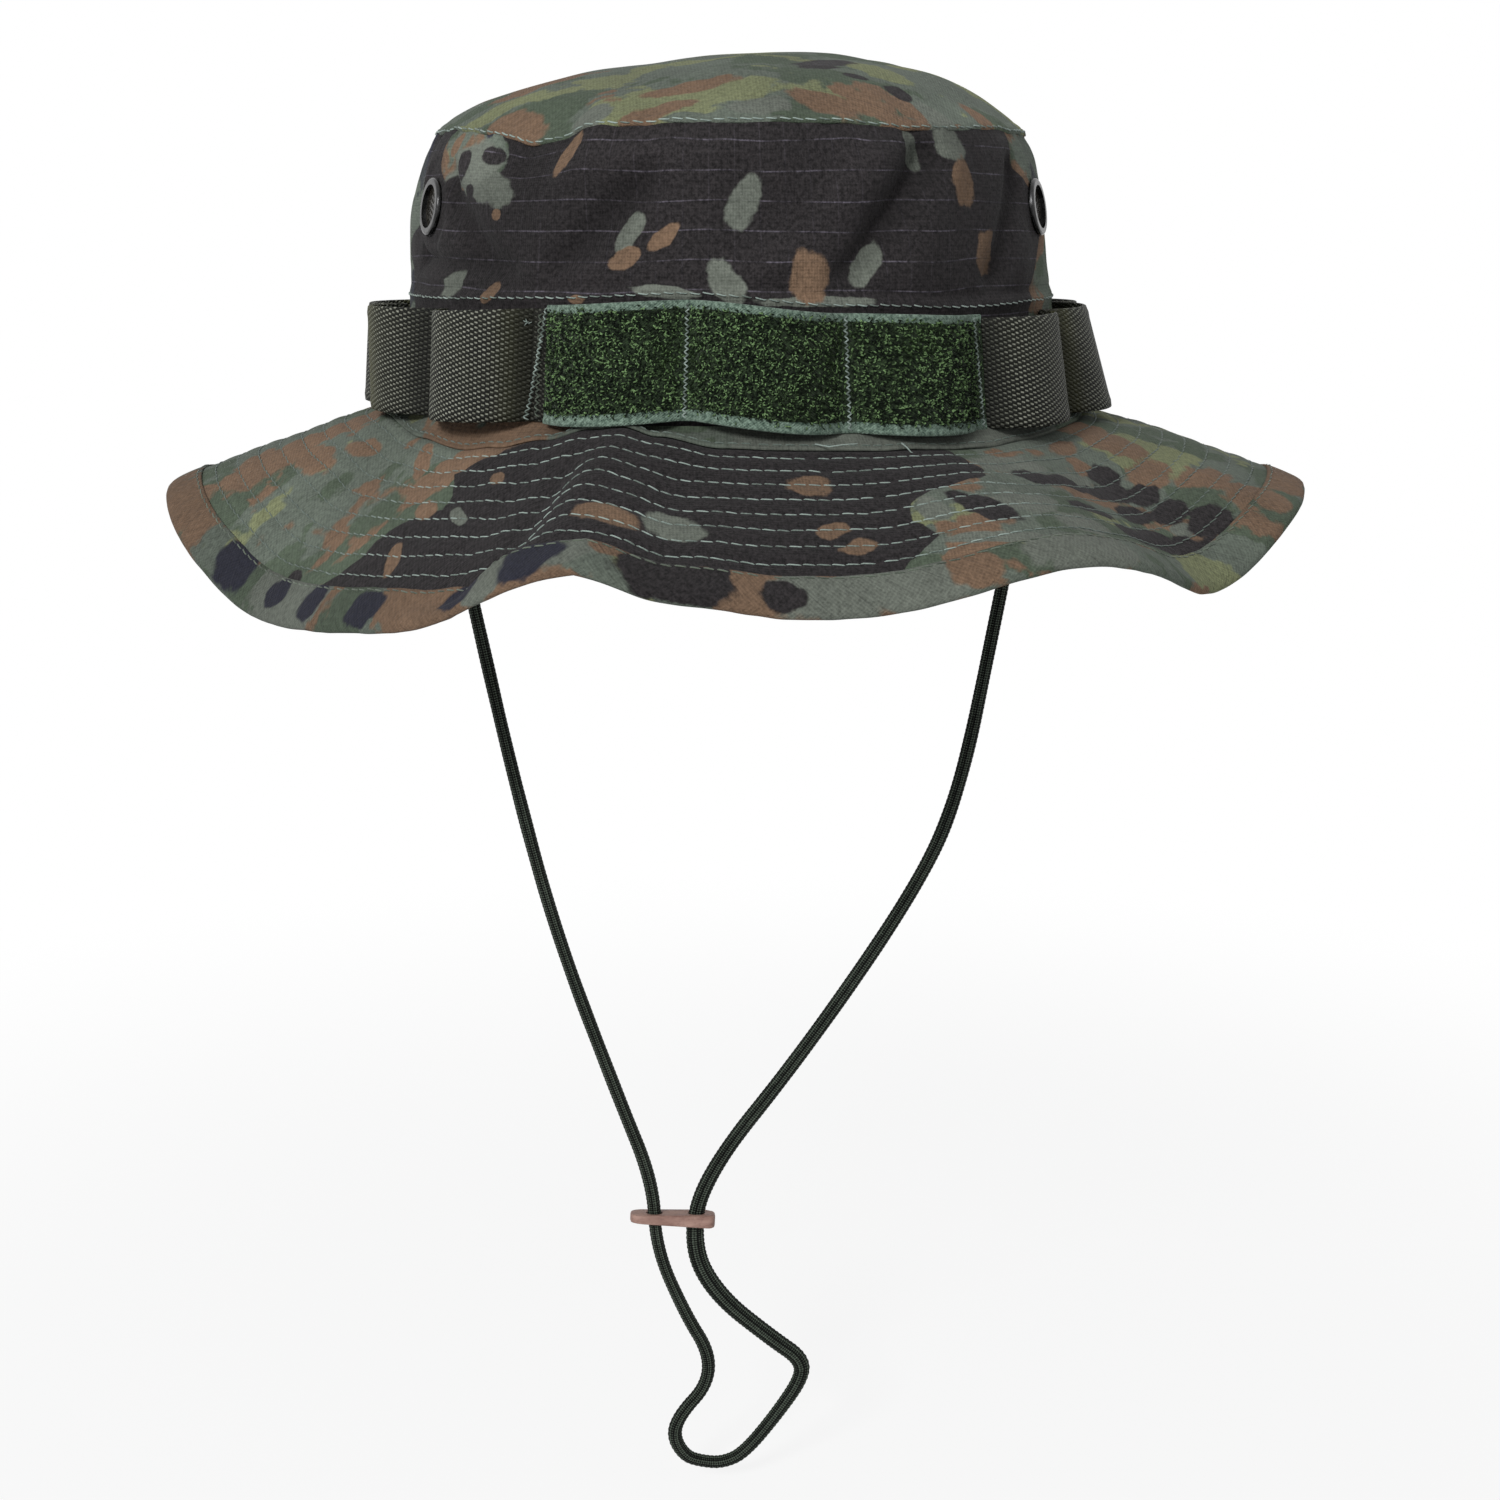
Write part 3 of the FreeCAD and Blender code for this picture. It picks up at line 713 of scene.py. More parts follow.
def route_points():
    curve = bpy.data.curves.new("cord_route", "CURVE")
    curve.dimensions = "3D"
    spline = curve.splines.new("NURBS")
    spline.points.add(len(ROUTE) - 1)
    for point, at in zip(spline.points, ROUTE):
        point.co = (at[0] * MM, at[1] * MM, at[2] * MM, 1.0)
    spline.order_u = 3
    spline.use_endpoint_u = True
    spline.resolution_u = 96
    ob = bpy.data.objects.new("cord_route", curve)
    mesh = bpy.data.meshes.new_from_object(ob)
    points = np.array([v.co for v in mesh.vertices]) / MM
    bpy.data.objects.remove(ob)
    bpy.data.meshes.remove(mesh)
    return points


PLAIT_PITCH = 2.827   # along the cord, in mm
ROUND_TO_LENGTH = 1.8   # mm of plait to each radian round the cord


def cord_piece(name, path, wide_from, wide_to):
    """A stretch of the cord; wide_from and wide_to say how flat it lies at its ends."""
    sides = 24
    tangent = np.gradient(path, axis=0)
    tangent /= np.linalg.norm(tangent, axis=1, keepdims=True)
    s = np.concatenate(([0.0], np.cumsum(np.linalg.norm(np.diff(path, axis=0), axis=1))))
    side = np.cross(tangent[0], (0.0, 1.0, 0.0))
    points, braid = [], []
    for i, p in enumerate(path):
        side = side - tangent[i] * (side @ tangent[i])
        side /= np.linalg.norm(side)
        over = np.cross(tangent[i], side)
        flat = wide_from + (wide_to - wide_from) * i / len(path) + 0.06 * bumps(p[0], p[1], p[2], 18.0, 3.0)
        for k in range(sides):
            a = TAU * k / sides
            one = math.sin(TAU * (s[i] + a * ROUND_TO_LENGTH) / PLAIT_PITCH)
            two = math.sin(TAU * (s[i] - a * ROUND_TO_LENGTH) / PLAIT_PITCH)
            r = CORD_DIAMETER / 2.0 * (0.96 + 0.055 * one * two)
            deep = max(2.0 - flat, 0.72)
            points.append(p + r * (flat * math.cos(a) * side + deep * math.sin(a) * over))
            braid.append((s[i] * MM, a * ROUND_TO_LENGTH * MM, 0.0))
    faces = grid_faces(len(path), sides, wrap=True)
    faces.append(tuple(range(sides))[::-1])
    last = (len(path) - 1) * sides
    faces.append(tuple(last + k for k in range(sides)))
    ob = piece(name, points, faces, PLAIT, fields={"braid": braid}, ride=False, slot="plaited_nylon")
    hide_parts("chin_cord")
    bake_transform(ob)


track = route_points()
below = np.nonzero(track[:, 2] < SLIDE_Z)[0]
first_cut, last_cut = below[0], below[-1]
cord_piece("chin_cord_right", track[:first_cut + 1], 1.0, 1.08)
cord_piece("chin_cord_left", track[last_cut:][::-1], 0.98, 1.32)
cord_piece("chin_cord_loop", track[first_cut:last_cut + 1],
           1.02, 1.5)


# ---------------------------------------------------------------- crown
def spots(listed, degrees, height, spread=MM_PER_DEGREE):
    """Strength of the listed print spots at a place: (angle, height, long, wide, tilt)."""
    best = -1.0
    for at_deg, at_h, long, wide, tilt in listed:
        dx = wrapped(degrees - at_deg) * spread
        dy = height - at_h
        if abs(dx) > 20 or abs(dy) > 20:
            continue
        t = math.radians(tilt)
        a = (dx * math.cos(t) + dy * math.sin(t)) / long
        b = (-dx * math.sin(t) + dy * math.cos(t)) / wide
        best = max(best, 1.0 - 0.5 * math.hypot(a, b))
    return best


WALL_PALE = ((-1.5, 52.5, 6.8, 3.6, 62), (-20.0, 45.5, 5.4, 2.6, 55), (-4.5, 34.5, 6.2, 3.4, -50),
             (18.5, 38.5, 6.5, 2.6, 45), (29.5, 64.5, 5.0, 2.6, -65), (-54.0, 61.0, 13.0, 6.5, 4),
             (-49.0, 57.0, 11.0, 4.6, -12), (37.5, 66.0, 5.6, 4.6, 0),
             (10.0, 30.3, 16.0, 1.2, 0), (-14.0, 32.5, 8.0, 1.4, -5), (-57.0, 33.0, 5.0, 3.0, 20))
WALL_RUST = ((-14.5, 44.5, 5.4, 1.9, 35), (-20.5, 40.0, 4.6, 2.2, 20), (8.3, 35.8, 6.0, 5.2, -80),
             (43.5, 41.0, 5.2, 5.0, -60), (38.5, 57.5, 5.8, 4.4, -80), (-32.0, 64.0, 5.4, 2.4, 55),
             (-62.0, 66.0, 3.6, 2.0, 60), (-46.0, 49.5, 1.8, 1.2, 0), (-46.0, 31.5, 3.4, 1.8, 35),
             (-28.5, 30.5, 2.4, 1.0, 0))
WALL_DOTS = ((-57.5, 61.5, 4.0, 3.2, 60), (-48.5, 64.5, 4.8, 2.4, 0), (-61.0, 54.0, 4.6, 3.6, 60),
             (-54.0, 55.0, 2.4, 2.0, 0))


def crown_dark(degrees, z):
    """Strength of the large black area across the front of the crown, from -1 to 1."""
    d = wrapped(degrees)
    left = -76.0 - 1.5 * math.sin(z / 5.0) - 10.0 * math.exp(-((z - 42.0) / 4.5) ** 2)
    right = 58.0 + 2.0 * math.sin(z / 6.0 + 1.0) + 8.0 * math.exp(-((z - 50.0) / 9.0) ** 2)
    inside = min(eased(d, left - 3.0, left + 3.0), 1.0 - eased(d, right - 3.0, right + 3.0))
    corner = 1.0 - eased(math.hypot((d + 56.0) * MM_PER_DEGREE / 17.0, (z - 64.0) / 8.5), 0.6, 1.3)
    return max(-0.25 + 1.25 * inside - 1.2 * corner, -1.0)


# How far the top seam wanders up and down, by angle in degrees.
SEAM_WAVE = ((-180, 0.0), (-150, 0.6), (-120, -0.8), (-90, 0.0), (-62, 0.2), (-50, -1.6), (-40, -4.2),
             (-34, -3.0), (-29, -0.3), (-10, 0.3), (12, 0.5), (30, -0.6), (55, 0.2), (90, 0.0), (140, 0.9),
             (180, 0.0))


def seam_shift(phi):
    x, y = 88.0 * math.sin(phi), 88.0 * math.cos(phi)
    return smooth_table(math.degrees(phi), SEAM_WAVE) + 0.45 * bumps(x, y, 0.0, 7.0, 9.0)


WELT = 30.2


def welt_height(degrees):
    return WELT + smooth_table(degrees, SEW_SHIFT) * 0.9


# Folds and ridges of the crown's cloth: (angle, height) of both ends, depth and half width.
CROWN_FOLDS = ((31.0, 64.0, 14.0, 34.0, -4.2, 4.2), (-62.0, 58.0, -44.0, 36.0, -2.6, 4.0),
               (55.0, 60.0, 44.0, 33.0, -3.0, 4.5), (-32.0, 60.0, -6.0, 64.0, 2.0, 5.0),
               (-72.0, 40.0, -42.0, 35.0, -2.6, 3.2), (21.0, 62.0, 3.0, 38.0, 1.8, 6.0),
               (-17.0, 58.0, -32.0, 38.0, -2.6, 4.5), (38.0, 62.0, 26.0, 36.0, 1.2, 5.0))


def crown_push(phi, z):
    """How far the cloth of the wall stands out from its smooth shape."""
    deg = math.degrees(phi)
    x, y = 87.0 * math.sin(phi), 97.0 * math.cos(phi)
    slack = 1.9 * bumps(x, y, z, 34.0, 1.0) + 1.1 * bumps(x, y + z * 0.5, z * 0.7, 15.0, 2.0)
    pull = 1.1 * bumps(x, y, z * 0.25, 7.5, 3.0) * math.exp(-(WALL_HEIGHT - z) / 8.0)
    welt = welt_height(deg)
    pull += 0.55 * bumps(x, y, z * 0.3, 9.0, 4.0) * math.exp(-abs(z - welt - 2.0) / 6.0)
    d = wrapped(deg)
    for a0, z0, a1, z1, depth, half in CROWN_FOLDS:
        px, py = (d - a0) * MM_PER_DEGREE, z - z0
        vx, vy = (a1 - a0) * MM_PER_DEGREE, z1 - z0
        t = min(max((px * vx + py * vy) / (vx * vx + vy * vy), 0.0), 1.0)
        away = math.hypot(px - t * vx, py - t * vy)
        slack += depth * math.exp(-(away / half) ** 2)
    high = eased(z, welt + 1.0, welt + 9.0)
    value = slack * high * (1.0 - eased(z, 62.0, 69.5) * 0.75) + pull * eased(z, welt - 2.0, welt + 2.0)
    left_side = 1.3 * eased(-d, 76.0, 88.0) * (1.0 - eased(-d, 102.0, 112.0))
    right_side = 1.3 * eased(d, 74.0, 84.0) * (1.0 - eased(d, 98.0, 108.0))
    value += left_side * math.exp(-((z - 53.0) / 9.0) ** 2)
    value -= right_side * eased(z, 24.0, 34.0) * (1.0 - eased(z, 58.0, 69.0))
    for at_deg, at_z in VENTS:
        value *= 1.0 - near(phi, z, at_deg, at_z, VENT_FLAT)
    roll = z - welt
    proud = 1.0 - 0.75 * eased(abs(d), 62.0, 82.0)
    value += proud * (0.85 * math.exp(-(roll / 1.25) ** 2) - 0.45 * math.exp(-((roll - 2.6) / 0.8) ** 2))
    if z < welt - 2.0:
        value = min(max(value, -0.4), 0.15)
    return value


def make_wall():
    cols, heights = 560, [0.0, 0.5] + list(np.arange(1.0, WALL_HEIGHT - 0.4, 0.9)) + [WALL_HEIGHT - 0.35]
    points, cloth, dark, rust, pale, dots, calm, painted_shade, holes = [], [], [], [], [], [], [], [], []
    for z in heights:
        for phi in angles(cols):
            deg = math.degrees(phi)
            push = crown_push(phi, z)
            p = on_hat(phi, z, push)
            p[2] += seam_shift(phi) * eased(z, 52.0, 70.0)
            points.append(p)
            cloth.append((phi * 0.0918, z * MM, 0.0))
            dark.append(crown_dark(deg, z))
            dots.append(spots(WALL_DOTS, deg, z))
            rust.append(spots(WALL_RUST, deg, z))
            calm.append(eased(-deg, 70.0, 76.0) * (1.0 - eased(-deg, 98.0, 112.0)))
            pale.append(spots(WALL_PALE, deg, z))
            # Painted shade: a little everywhere, more where the cloth sinks into a fold, and towards both
            # sides of the black front.
            sides = 0.6 * eased(abs(deg), 14.0, 42.0) * eased(dark[-1], 0.0, 0.6)
            painted_shade.append(min(max(0.1 - push / 3.6, 0.0) + sides, 1.1))
            hole = 99.0
            for at_deg, at_z in VENTS:
                c = on_hat(math.radians(at_deg), at_z, 0.0)
                hole = min(hole, float(np.linalg.norm(on_hat(phi, z, 0.0) - c)))
            holes.append(hole)
    wide = cols + 1

    def keep(r, c):
        corners = (r * wide + c, r * wide + c + 1, (r + 1) * wide + c, (r + 1) * wide + c + 1)
        return sum(holes[i] for i in corners) / 4.0 > VENT_HOLE

    ob = piece("crown_wall", points, grid_faces(len(heights), wide, keep=keep), CAMO,
               fields={"cloth": cloth, "dark": dark, "rust": rust, "pale": pale, "dots": dots, "calm": calm,
                       "painted_shade": painted_shade},
               replaces=("crown_front", "crown_back"), slot="camouflage_cloth")
    thicken(ob, CLOTH_THICK)


def dome_height(share):
    """The dome's profile as a smooth curve through DOME_PROFILE, from 1 in the middle to 0."""
    xs, ys = zip(*DOME_PROFILE)
    n = len(xs)
    slope = [(ys[i + 1] - ys[i]) / (xs[i + 1] - xs[i]) for i in range(n - 1)]
    ends = [2.0 * a * b / (a + b) for a, b in zip(slope, slope[1:])]
    ends = [0.0] + ends + [slope[-1] * 1.3]
    for i in range(n - 1):
        if share <= xs[i + 1] or i == n - 2:
            h = xs[i + 1] - xs[i]
            t = min(max((share - xs[i]) / h, 0.0), 1.0)
            return ((2 * t ** 3 - 3 * t * t + 1) * ys[i] + (t ** 3 - 2 * t * t + t) * h * ends[i]
                    + (-2 * t ** 3 + 3 * t * t) * ys[i + 1] + (t ** 3 - t * t) * h * ends[i + 1])
    return 0.0


SEAM_RADIUS = wall_radius(WALL_HEIGHT)


def dome_point(phi, share, lift=0.0):
    x, y = SEAM_RADIUS * share * math.sin(phi), -SEAM_RADIUS * DEPTH_RATIO * share * math.cos(phi)
    z = WALL_HEIGHT + DOME_RISE * dome_height(share)
    edge = 1.0 - share
    calm = eased(edge, 0.0, 0.12)
    z += calm * (1.5 * bumps(x, y, 0.0, 40.0, 7.0) + 0.8 * bumps(x, y, 0.0, 17.0, 8.0) - 0.9)
    along = bumps(88.0 * math.sin(phi), 88.0 * math.cos(phi), 0.0, 9.0, 13.0)
    z += 0.9 * along * math.exp(-edge * 76.0 / 9.0) * eased(edge, 0.0, 0.03)
    z += seam_shift(phi) * (1.0 - eased(edge, 0.0, 0.16))
    z += 1.4 * math.sin(math.pi * x / 80.0) * eased(edge, 0.0, 0.2)
    return np.array((x, y, z + lift))


DOME_DOTS = ((20.0, -48.0, 12.0, 5.0, 50), (17.0, -56.5, 5.5, 3.0, 20), (25.3, -61.4, 3.6, 1.8, 10),
             (35.4, -62.8, 3.4, 2.6, 0), (-30.0, 20.0, 9.0, 6.0, 40), (-18.0, 28.0, 7.0, 5.0, 0))
DOME_RUST = ((-13.5, -66.5, 11.0, 3.4, 5), (-21.0, -77.5, 10.0, 3.4, 14), (-55.0, -57.5, 10.0, 6.0, -45),
             (17.0, -77.0, 9.0, 3.6, -8), (37.0, -68.0, 5.0, 3.0, -25), (57.0, -52.0, 6.0, 3.6, -45))
DOME_PALE = ((2.0, -80.0, 7.0, 3.4, 0), (-36.0, -71.0, 4.6, 5.0, 25), (44.0, -66.0, 5.0, 4.0, 0))


def make_dome():
    cols = 540
    shares = [1.0 - 0.004 * i for i in range(12)] + list(np.linspace(0.945, 0.015, 66))
    points, cloth, dark, rust, pale, dots, painted_shade = [], [], [], [], [], [], []
    for out, z in ((0.3, -0.9), (0.55, -0.6), (0.6, -0.1), (0.45, 0.5)):
        for phi in angles(cols):
            wave = seam_shift(phi)
            r = SEAM_RADIUS + out
            points.append(np.array((r * math.sin(phi), -(SEAM_RADIUS * DEPTH_RATIO + out) * math.cos(phi),
                                    WALL_HEIGHT + z + wave)))
            cloth.append((points[-1][0] * MM + 0.4, points[-1][1] * MM - 0.001 * z, 0.0))
    for share in shares:
        for phi in angles(cols):
            p = dome_point(phi, share, 0.7 * eased(share, 0.97, 1.0))
            points.append(p)
            cloth.append((p[0] * MM + 0.4, p[1] * MM, 0.0))
    for p in points:
        dark.append(-1.0)
        dots.append(spots(DOME_DOTS, p[0], p[1], 1.0))
        rust.append(spots(DOME_RUST, p[0], p[1], 1.0))
        pale.append(spots(DOME_PALE, p[0], p[1], 1.0))
        # Painted shade over the dome, fading out towards its +X side.
        painted_shade.append(0.4 * (1.0 - eased(p[0], 10.0, 50.0)))
    rows = 4 + len(shares)
    faces = grid_faces(rows, cols + 1)
    centre = len(points)
    points.append(dome_point(0.0, 0.0))
    cloth.append((0.4, 0.0, 0.0))
    for field in (dark, rust, pale, dots):
        field.append(-1.0)
    # The centre point gets the same painted shade.
    painted_shade.append(0.4)
    first = (rows - 1) * (cols + 1)
    faces += [(first + c, first + c + 1, centre) for c in range(cols)]
    sun = [0.75] * len(points)
    ob = piece("crown_dome", points, faces, CAMO,
               fields={"cloth": cloth, "dark": dark, "rust": rust, "pale": pale, "dots": dots, "sun": sun,
                       "painted_shade": painted_shade},
               replaces=("crown_top",), slot="camouflage_cloth")
    thicken(ob, CLOTH_THICK)


make_wall()
make_dome()


# ---------------------------------------------------------------- hem on the brim
def hem_point(phi, share, lift):
    """share 0 at the wall, 1 at the hem's stitched edge on the brim."""
    edge = brim_point(phi, 0.0, 0.0)
    inner = on_hat(phi, 0.0, 0.25)
    wave = smooth_table(math.degrees(phi), HEM_WAVE)
    p = inner + (edge - inner) * share
    p[2] = 1.6 - 0.6 * share + wave * eased(share, 0.0, 1.0) + lift
    x, y = 90.0 * math.sin(phi), 100.0 * math.cos(phi)
    p[2] += 0.35 * bumps(x, y, 0.0, 9.0, 12.0) * eased(share, 0.1, 0.6)
    return p


def make_hem():
    cols = 540
    profile = ((0.0, 1.2), (0.08, 0.5), (0.2, 0.1), (0.4, 0.0), (0.6, 0.0), (0.8, 0.0), (0.92, -0.05),
               (1.0, -0.3), (1.03, -0.7), (1.0, -0.95), (0.9, -1.0), (0.7, -1.0), (0.45, -1.0))
    points, cloth, rust, pale, dark = [], [], [], [], []
    for share, lift in profile:
        for phi in angles(cols):
            deg = wrapped(math.degrees(phi))
            points.append(hem_point(phi, share, lift))
            cloth.append((phi * 0.095 + 1.3, share * 0.006, 0.0))
            rust.append(max(spots(((-52, 0.5, 9.0, 9.0, 0), (-38, 0.6, 7.0, 9.0, 0)), deg, share), 0.0))
            pale.append(max(0.7 * eased(deg, -12.0, 0.0) * (1.0 - eased(deg, 52.0, 62.0)), 0.0))
            dark.append(-1.0 if abs(deg) < 70 else 0.0)
    # Painted shade: the whole hem is darkened evenly.
    ob = piece("crown_hem", points, grid_faces(len(profile), cols + 1, flip=True), CAMO,
               fields={"cloth": cloth, "rust": rust, "pale": pale, "dark": dark, "plain": [1.0] * len(points),
                       "painted_shade": [0.8] * len(points)},
               replaces=("crown_collar",), slot="camouflage_cloth")


# ---------------------------------------------------------------- brim
def quilt(share):
    """Height of the quilting between its stitched rows."""
    d = share * BRIM_WIDTH
    last = QUILT_START + QUILT_PITCH * (QUILT_ROWS - 1)
    if d < QUILT_START:
        t = max(d / QUILT_START, 0.0)
        return 0.4 * math.sin(math.pi * min(max(t, 0.0), 1.0)) ** 0.7
    if d > last:
        return 0.3 * math.sin(math.pi * min((d - last) / QUILT_PITCH, 1.0)) ** 0.7
    f = ((d - QUILT_START) / QUILT_PITCH) % 1.0
    return 0.5 * math.sin(math.pi * f) ** 0.6


BRIM_PALE = ((-9.0, 0.60, 7.0, 4.4, 15), (-35.5, 0.46, 5.5, 1.8, 35), (17.0, 0.52, 3.4, 6.0, 0),
             (20.5, 0.78, 11.0, 2.2, 20), (50.0, 0.72, 4.0, 2.6, 0), (27.5, 0.55, 9.0, 6.0, 0),
             (35.0, 0.20, 12.0, 5.5, 8), (42.0, 0.34, 9.0, 4.0, 0), (31.0, 0.72, 8.0, 5.0, 0))
BRIM_RUST = ((-15.0, 0.64, 7.0, 4.4, 0), (5.5, 0.28, 5.6, 4.0, 0), (6.3, 0.58, 4.0, 2.6, -30),
             (8.4, 0.68, 4.6, 2.6, -20), (-45.0, 0.28, 6.0, 3.2, 70), (-42.0, 0.41, 5.0, 3.0, 30),
             (-40.5, 0.70, 6.0, 2.2, 60), (56.0, 0.44, 9.0, 5.0, 0), (61.0, 0.62, 10.0, 5.0, 20),
             (61.0, 0.80, 6.0, 3.6, 0), (50.0, 0.12, 6.0, 3.0, 0), (-79.0, 0.62, 11.0, 7.0, 30),
             (-72.0, 0.37, 10.0, 5.0, 0), (-66.0, 0.20, 7.0, 3.4, -20), (-52.0, 0.12, 8.0, 2.6, 50),
             (-34.0, 0.24, 3.0, 1.8, 30), (36.0, 0.97, 10.0, 1.8, 10))
BRIM_DOTS = ((22.0, 0.56, 9.6, 4.2, 62), (35.5, 0.31, 6.8, 3.4, 20), (40.5, 0.35, 6.0, 3.6, 20),
             (44.5, 0.41, 5.2, 3.4, 10), (50.0, 0.33, 5.8, 4.2, 0), (47.5, 0.43, 6.6, 4.4, 0),
             (51.5, 0.50, 6.0, 4.2, 0), (37.0, 0.58, 7.6, 3.2, 20), (46.0, 0.58, 6.8, 4.0, 0),
             (51.5, 0.63, 6.6, 4.2, 0), (40.0, 0.73, 7.4, 3.8, 10), (44.5, 0.74, 7.2, 4.6, 10),
             (48.0, 0.81, 6.4, 4.4, 10), (54.0, 0.77, 7.8, 5.0, 10), (50.5, 0.87, 6.6, 4.0, 0),
             (-56.0, 0.82, 3.6, 2.2, 20), (26.0, 0.30, 4.0, 1.8, -30))
BRIM_CALM = ((-74.0, 0.78, 12.0, 5.0, 0), (-63.0, 0.50, 15.0, 9.0, 0), (-60.0, 0.76, 16.0, 9.0, 0),
             (-51.0, 0.46, 8.0, 8.0, 0), (31.0, 0.45, 14.0, 13.0, 0), (26.0, 0.78, 12.0, 7.0, 0),
             (40.0, 0.22, 12.0, 6.0, 0))


def front_calm(deg):
    """Keeps the shader's own black patches off the front, where the listed spots place them."""
    return -0.8 * (1.0 - eased(abs(wrapped(deg)), 85.0, 110.0))


def brim_dark(deg, share):
    """Strength of the large black area across the front of the brim."""
    d = wrapped(deg)
    left = float(np.interp(share, (0.0, 0.08, 0.2, 0.33, 0.42, 0.47, 0.55, 0.7, 0.85, 0.95),
                           (-34.0, -40.0, -43.0, -40.0, -39.5, -44.0, -46.0, -47.0, -51.0, -56.0)))
    right = float(np.interp(share, (0.0, 0.25, 0.33, 0.38, 0.45, 0.55, 0.68, 0.78, 0.88),
                            (29.0, 29.0, 26.0, 19.5, 16.0, 15.0, 16.5, 13.0, 11.0)))
    inside = min(eased(d, left - 2.0, left + 2.0), 1.0 - eased(d, right - 2.0, right + 2.0))
    calm = front_calm(d)
    return calm + (1.0 - calm) * inside


def brim_fields(phi, share, fields):
    deg = math.degrees(phi)
    h = share * BRIM_WIDTH

    def scaled(listed):
        return [(a, s * BRIM_WIDTH, long, wide, tilt) for a, s, long, wide, tilt in listed]

    spread = 1.75 + share * 0.95
    fields["dark"].append(brim_dark(deg, share))
    fields["sun"].append(0.5 * eased(deg, 40.0, 60.0) * (1.0 - eased(deg, 95.0, 120.0))
                         - 0.7 * (1.0 - eased(abs(deg + 50.0), 50.0, 70.0)))
    fields["plain"].append(1.0)
    # Painted shade over the whole brim, deeper on its black area.
    fields["painted_shade"].append(0.22 + 0.3 * max(fields["dark"][-1], 0.0))
    for key, listed in (("dots", BRIM_DOTS), ("calm", BRIM_CALM), ("rust", BRIM_RUST), ("pale", BRIM_PALE)):
        fields[key].append(spots(scaled(listed), deg, h, spread))


def brim_surface(phi, share, side):
    """side +1 is the top cloth, -1 the underside."""
    x, y = 120.0 * math.sin(phi), 130.0 * math.cos(phi)
    h = quilt(share) if share > 0 else 0.0
    rows = abs(((share * BRIM_WIDTH - QUILT_START) / QUILT_PITCH) % 1.0 - 0.5) * 2.0
    pucker = 0.16 * bumps(x, y, share * 60.0, 2.6, 21.0 + side) * rows ** 3
    loose = 0.35 * bumps(x, y, share * 50.0, 12.0, 23.0)
    return brim_point(phi, share, PLY_FACES[side] + side * (h + pucker) + loose * eased(share, 0.0, 0.2))


def make_brim(side):
    cols = 720
    shares = list(np.arange(0.0, 0.9, 0.0105))
    names = ("cloth", "dark", "rust", "pale", "dots", "sun", "plain", "painted_shade", "calm")
    fields = {key: [] for key in names}
    points = []
    for r in (86.4, 88.5, 91.0):
        for phi in angles(cols):
            k = (r - 86.4) / (BRIM_BASE - 86.4)
            wave = smooth_table(math.degrees(phi), HEM_WAVE) * eased(k, 0.15, 1.0)
            z = PLY_FACES[side] + wave
            points.append(np.array((r * math.sin(phi), -(r + 10.137 * r / BRIM_BASE) * math.cos(phi), z)))
            brim_fields(phi, 0.0, fields)
            fields["cloth"].append((points[-1][0] * MM + 2.0 + side, points[-1][1] * MM, 0.0))
    for share in shares:
        for phi in angles(cols):
            p = brim_surface(phi, share, side)
            points.append(p)
            fields["cloth"].append((p[0] * MM + 2.0 + side, p[1] * MM * (1.0 if side > 0 else 0.98), 0.0))
            brim_fields(phi, share, fields)
    if side < 0:
        fields = {"cloth": fields["cloth"]}
    name = "brim_cloth_top" if side > 0 else "brim_cloth_under"
    node = "brim_upper" if side > 0 else "brim_lower"
    ob = piece(name, points, grid_faces(3 + len(shares), cols + 1, flip=side > 0), CAMO, fields=fields,
               replaces=(node,), slot="camouflage_cloth")


def brim_normal(phi, share, side):
    a = brim_point(phi, share + 0.01, 0.0) - brim_point(phi, share - 0.01, 0.0)
    b = brim_point(phi + 0.004, share, 0.0) - brim_point(phi - 0.004, share, 0.0)
    n = np.cross(b, a)
    n /= np.linalg.norm(n)
    if n[2] < 0:
        n = -n
    return n * side


def faint_place(p):
    """Thread looks pale on the dark print in front and sinks into the green cloth elsewhere."""
    deg = math.degrees(math.atan2(p[0], -p[1]))
    return 0.85 * (1.0 - eased(deg, -56.0, -38.0) * (1.0 - eased(deg, 22.0, 34.0)))


def stitched_brim(side):
    threads = Bundle()
    for row in range(QUILT_ROWS):
        share = (QUILT_START + QUILT_PITCH * row) / BRIM_WIDTH

        def place(phi):
            n = brim_normal(phi, share, side)
            return brim_surface(phi, share, side) + n * 0.12, n

        run_stitches(threads, ring_line(720, place, random.random() * 0.3), faint=faint_place)
    name = "brim_quilting_top" if side > 0 else "brim_quilting_under"
    threads.piece(name, YARN, slot="thread")


make_hem()
make_brim(1)
make_brim(-1)
stitched_brim(1)
stitched_brim(-1)


# ---------------------------------------------------------------- binding
def binding_point(phi, share, lift):
    x, y = 150.0 * math.sin(phi), 160.0 * math.cos(phi)
    p = brim_point(phi, share, lift)
    ruck = bumps(x + share * 30.0, y - share * 30.0, lift, 5.0, 31.0)
    p[2] += 0.16 * ruck + 0.3 * bumps(x, y, 0.0, 14.0, 32.0)
    return p


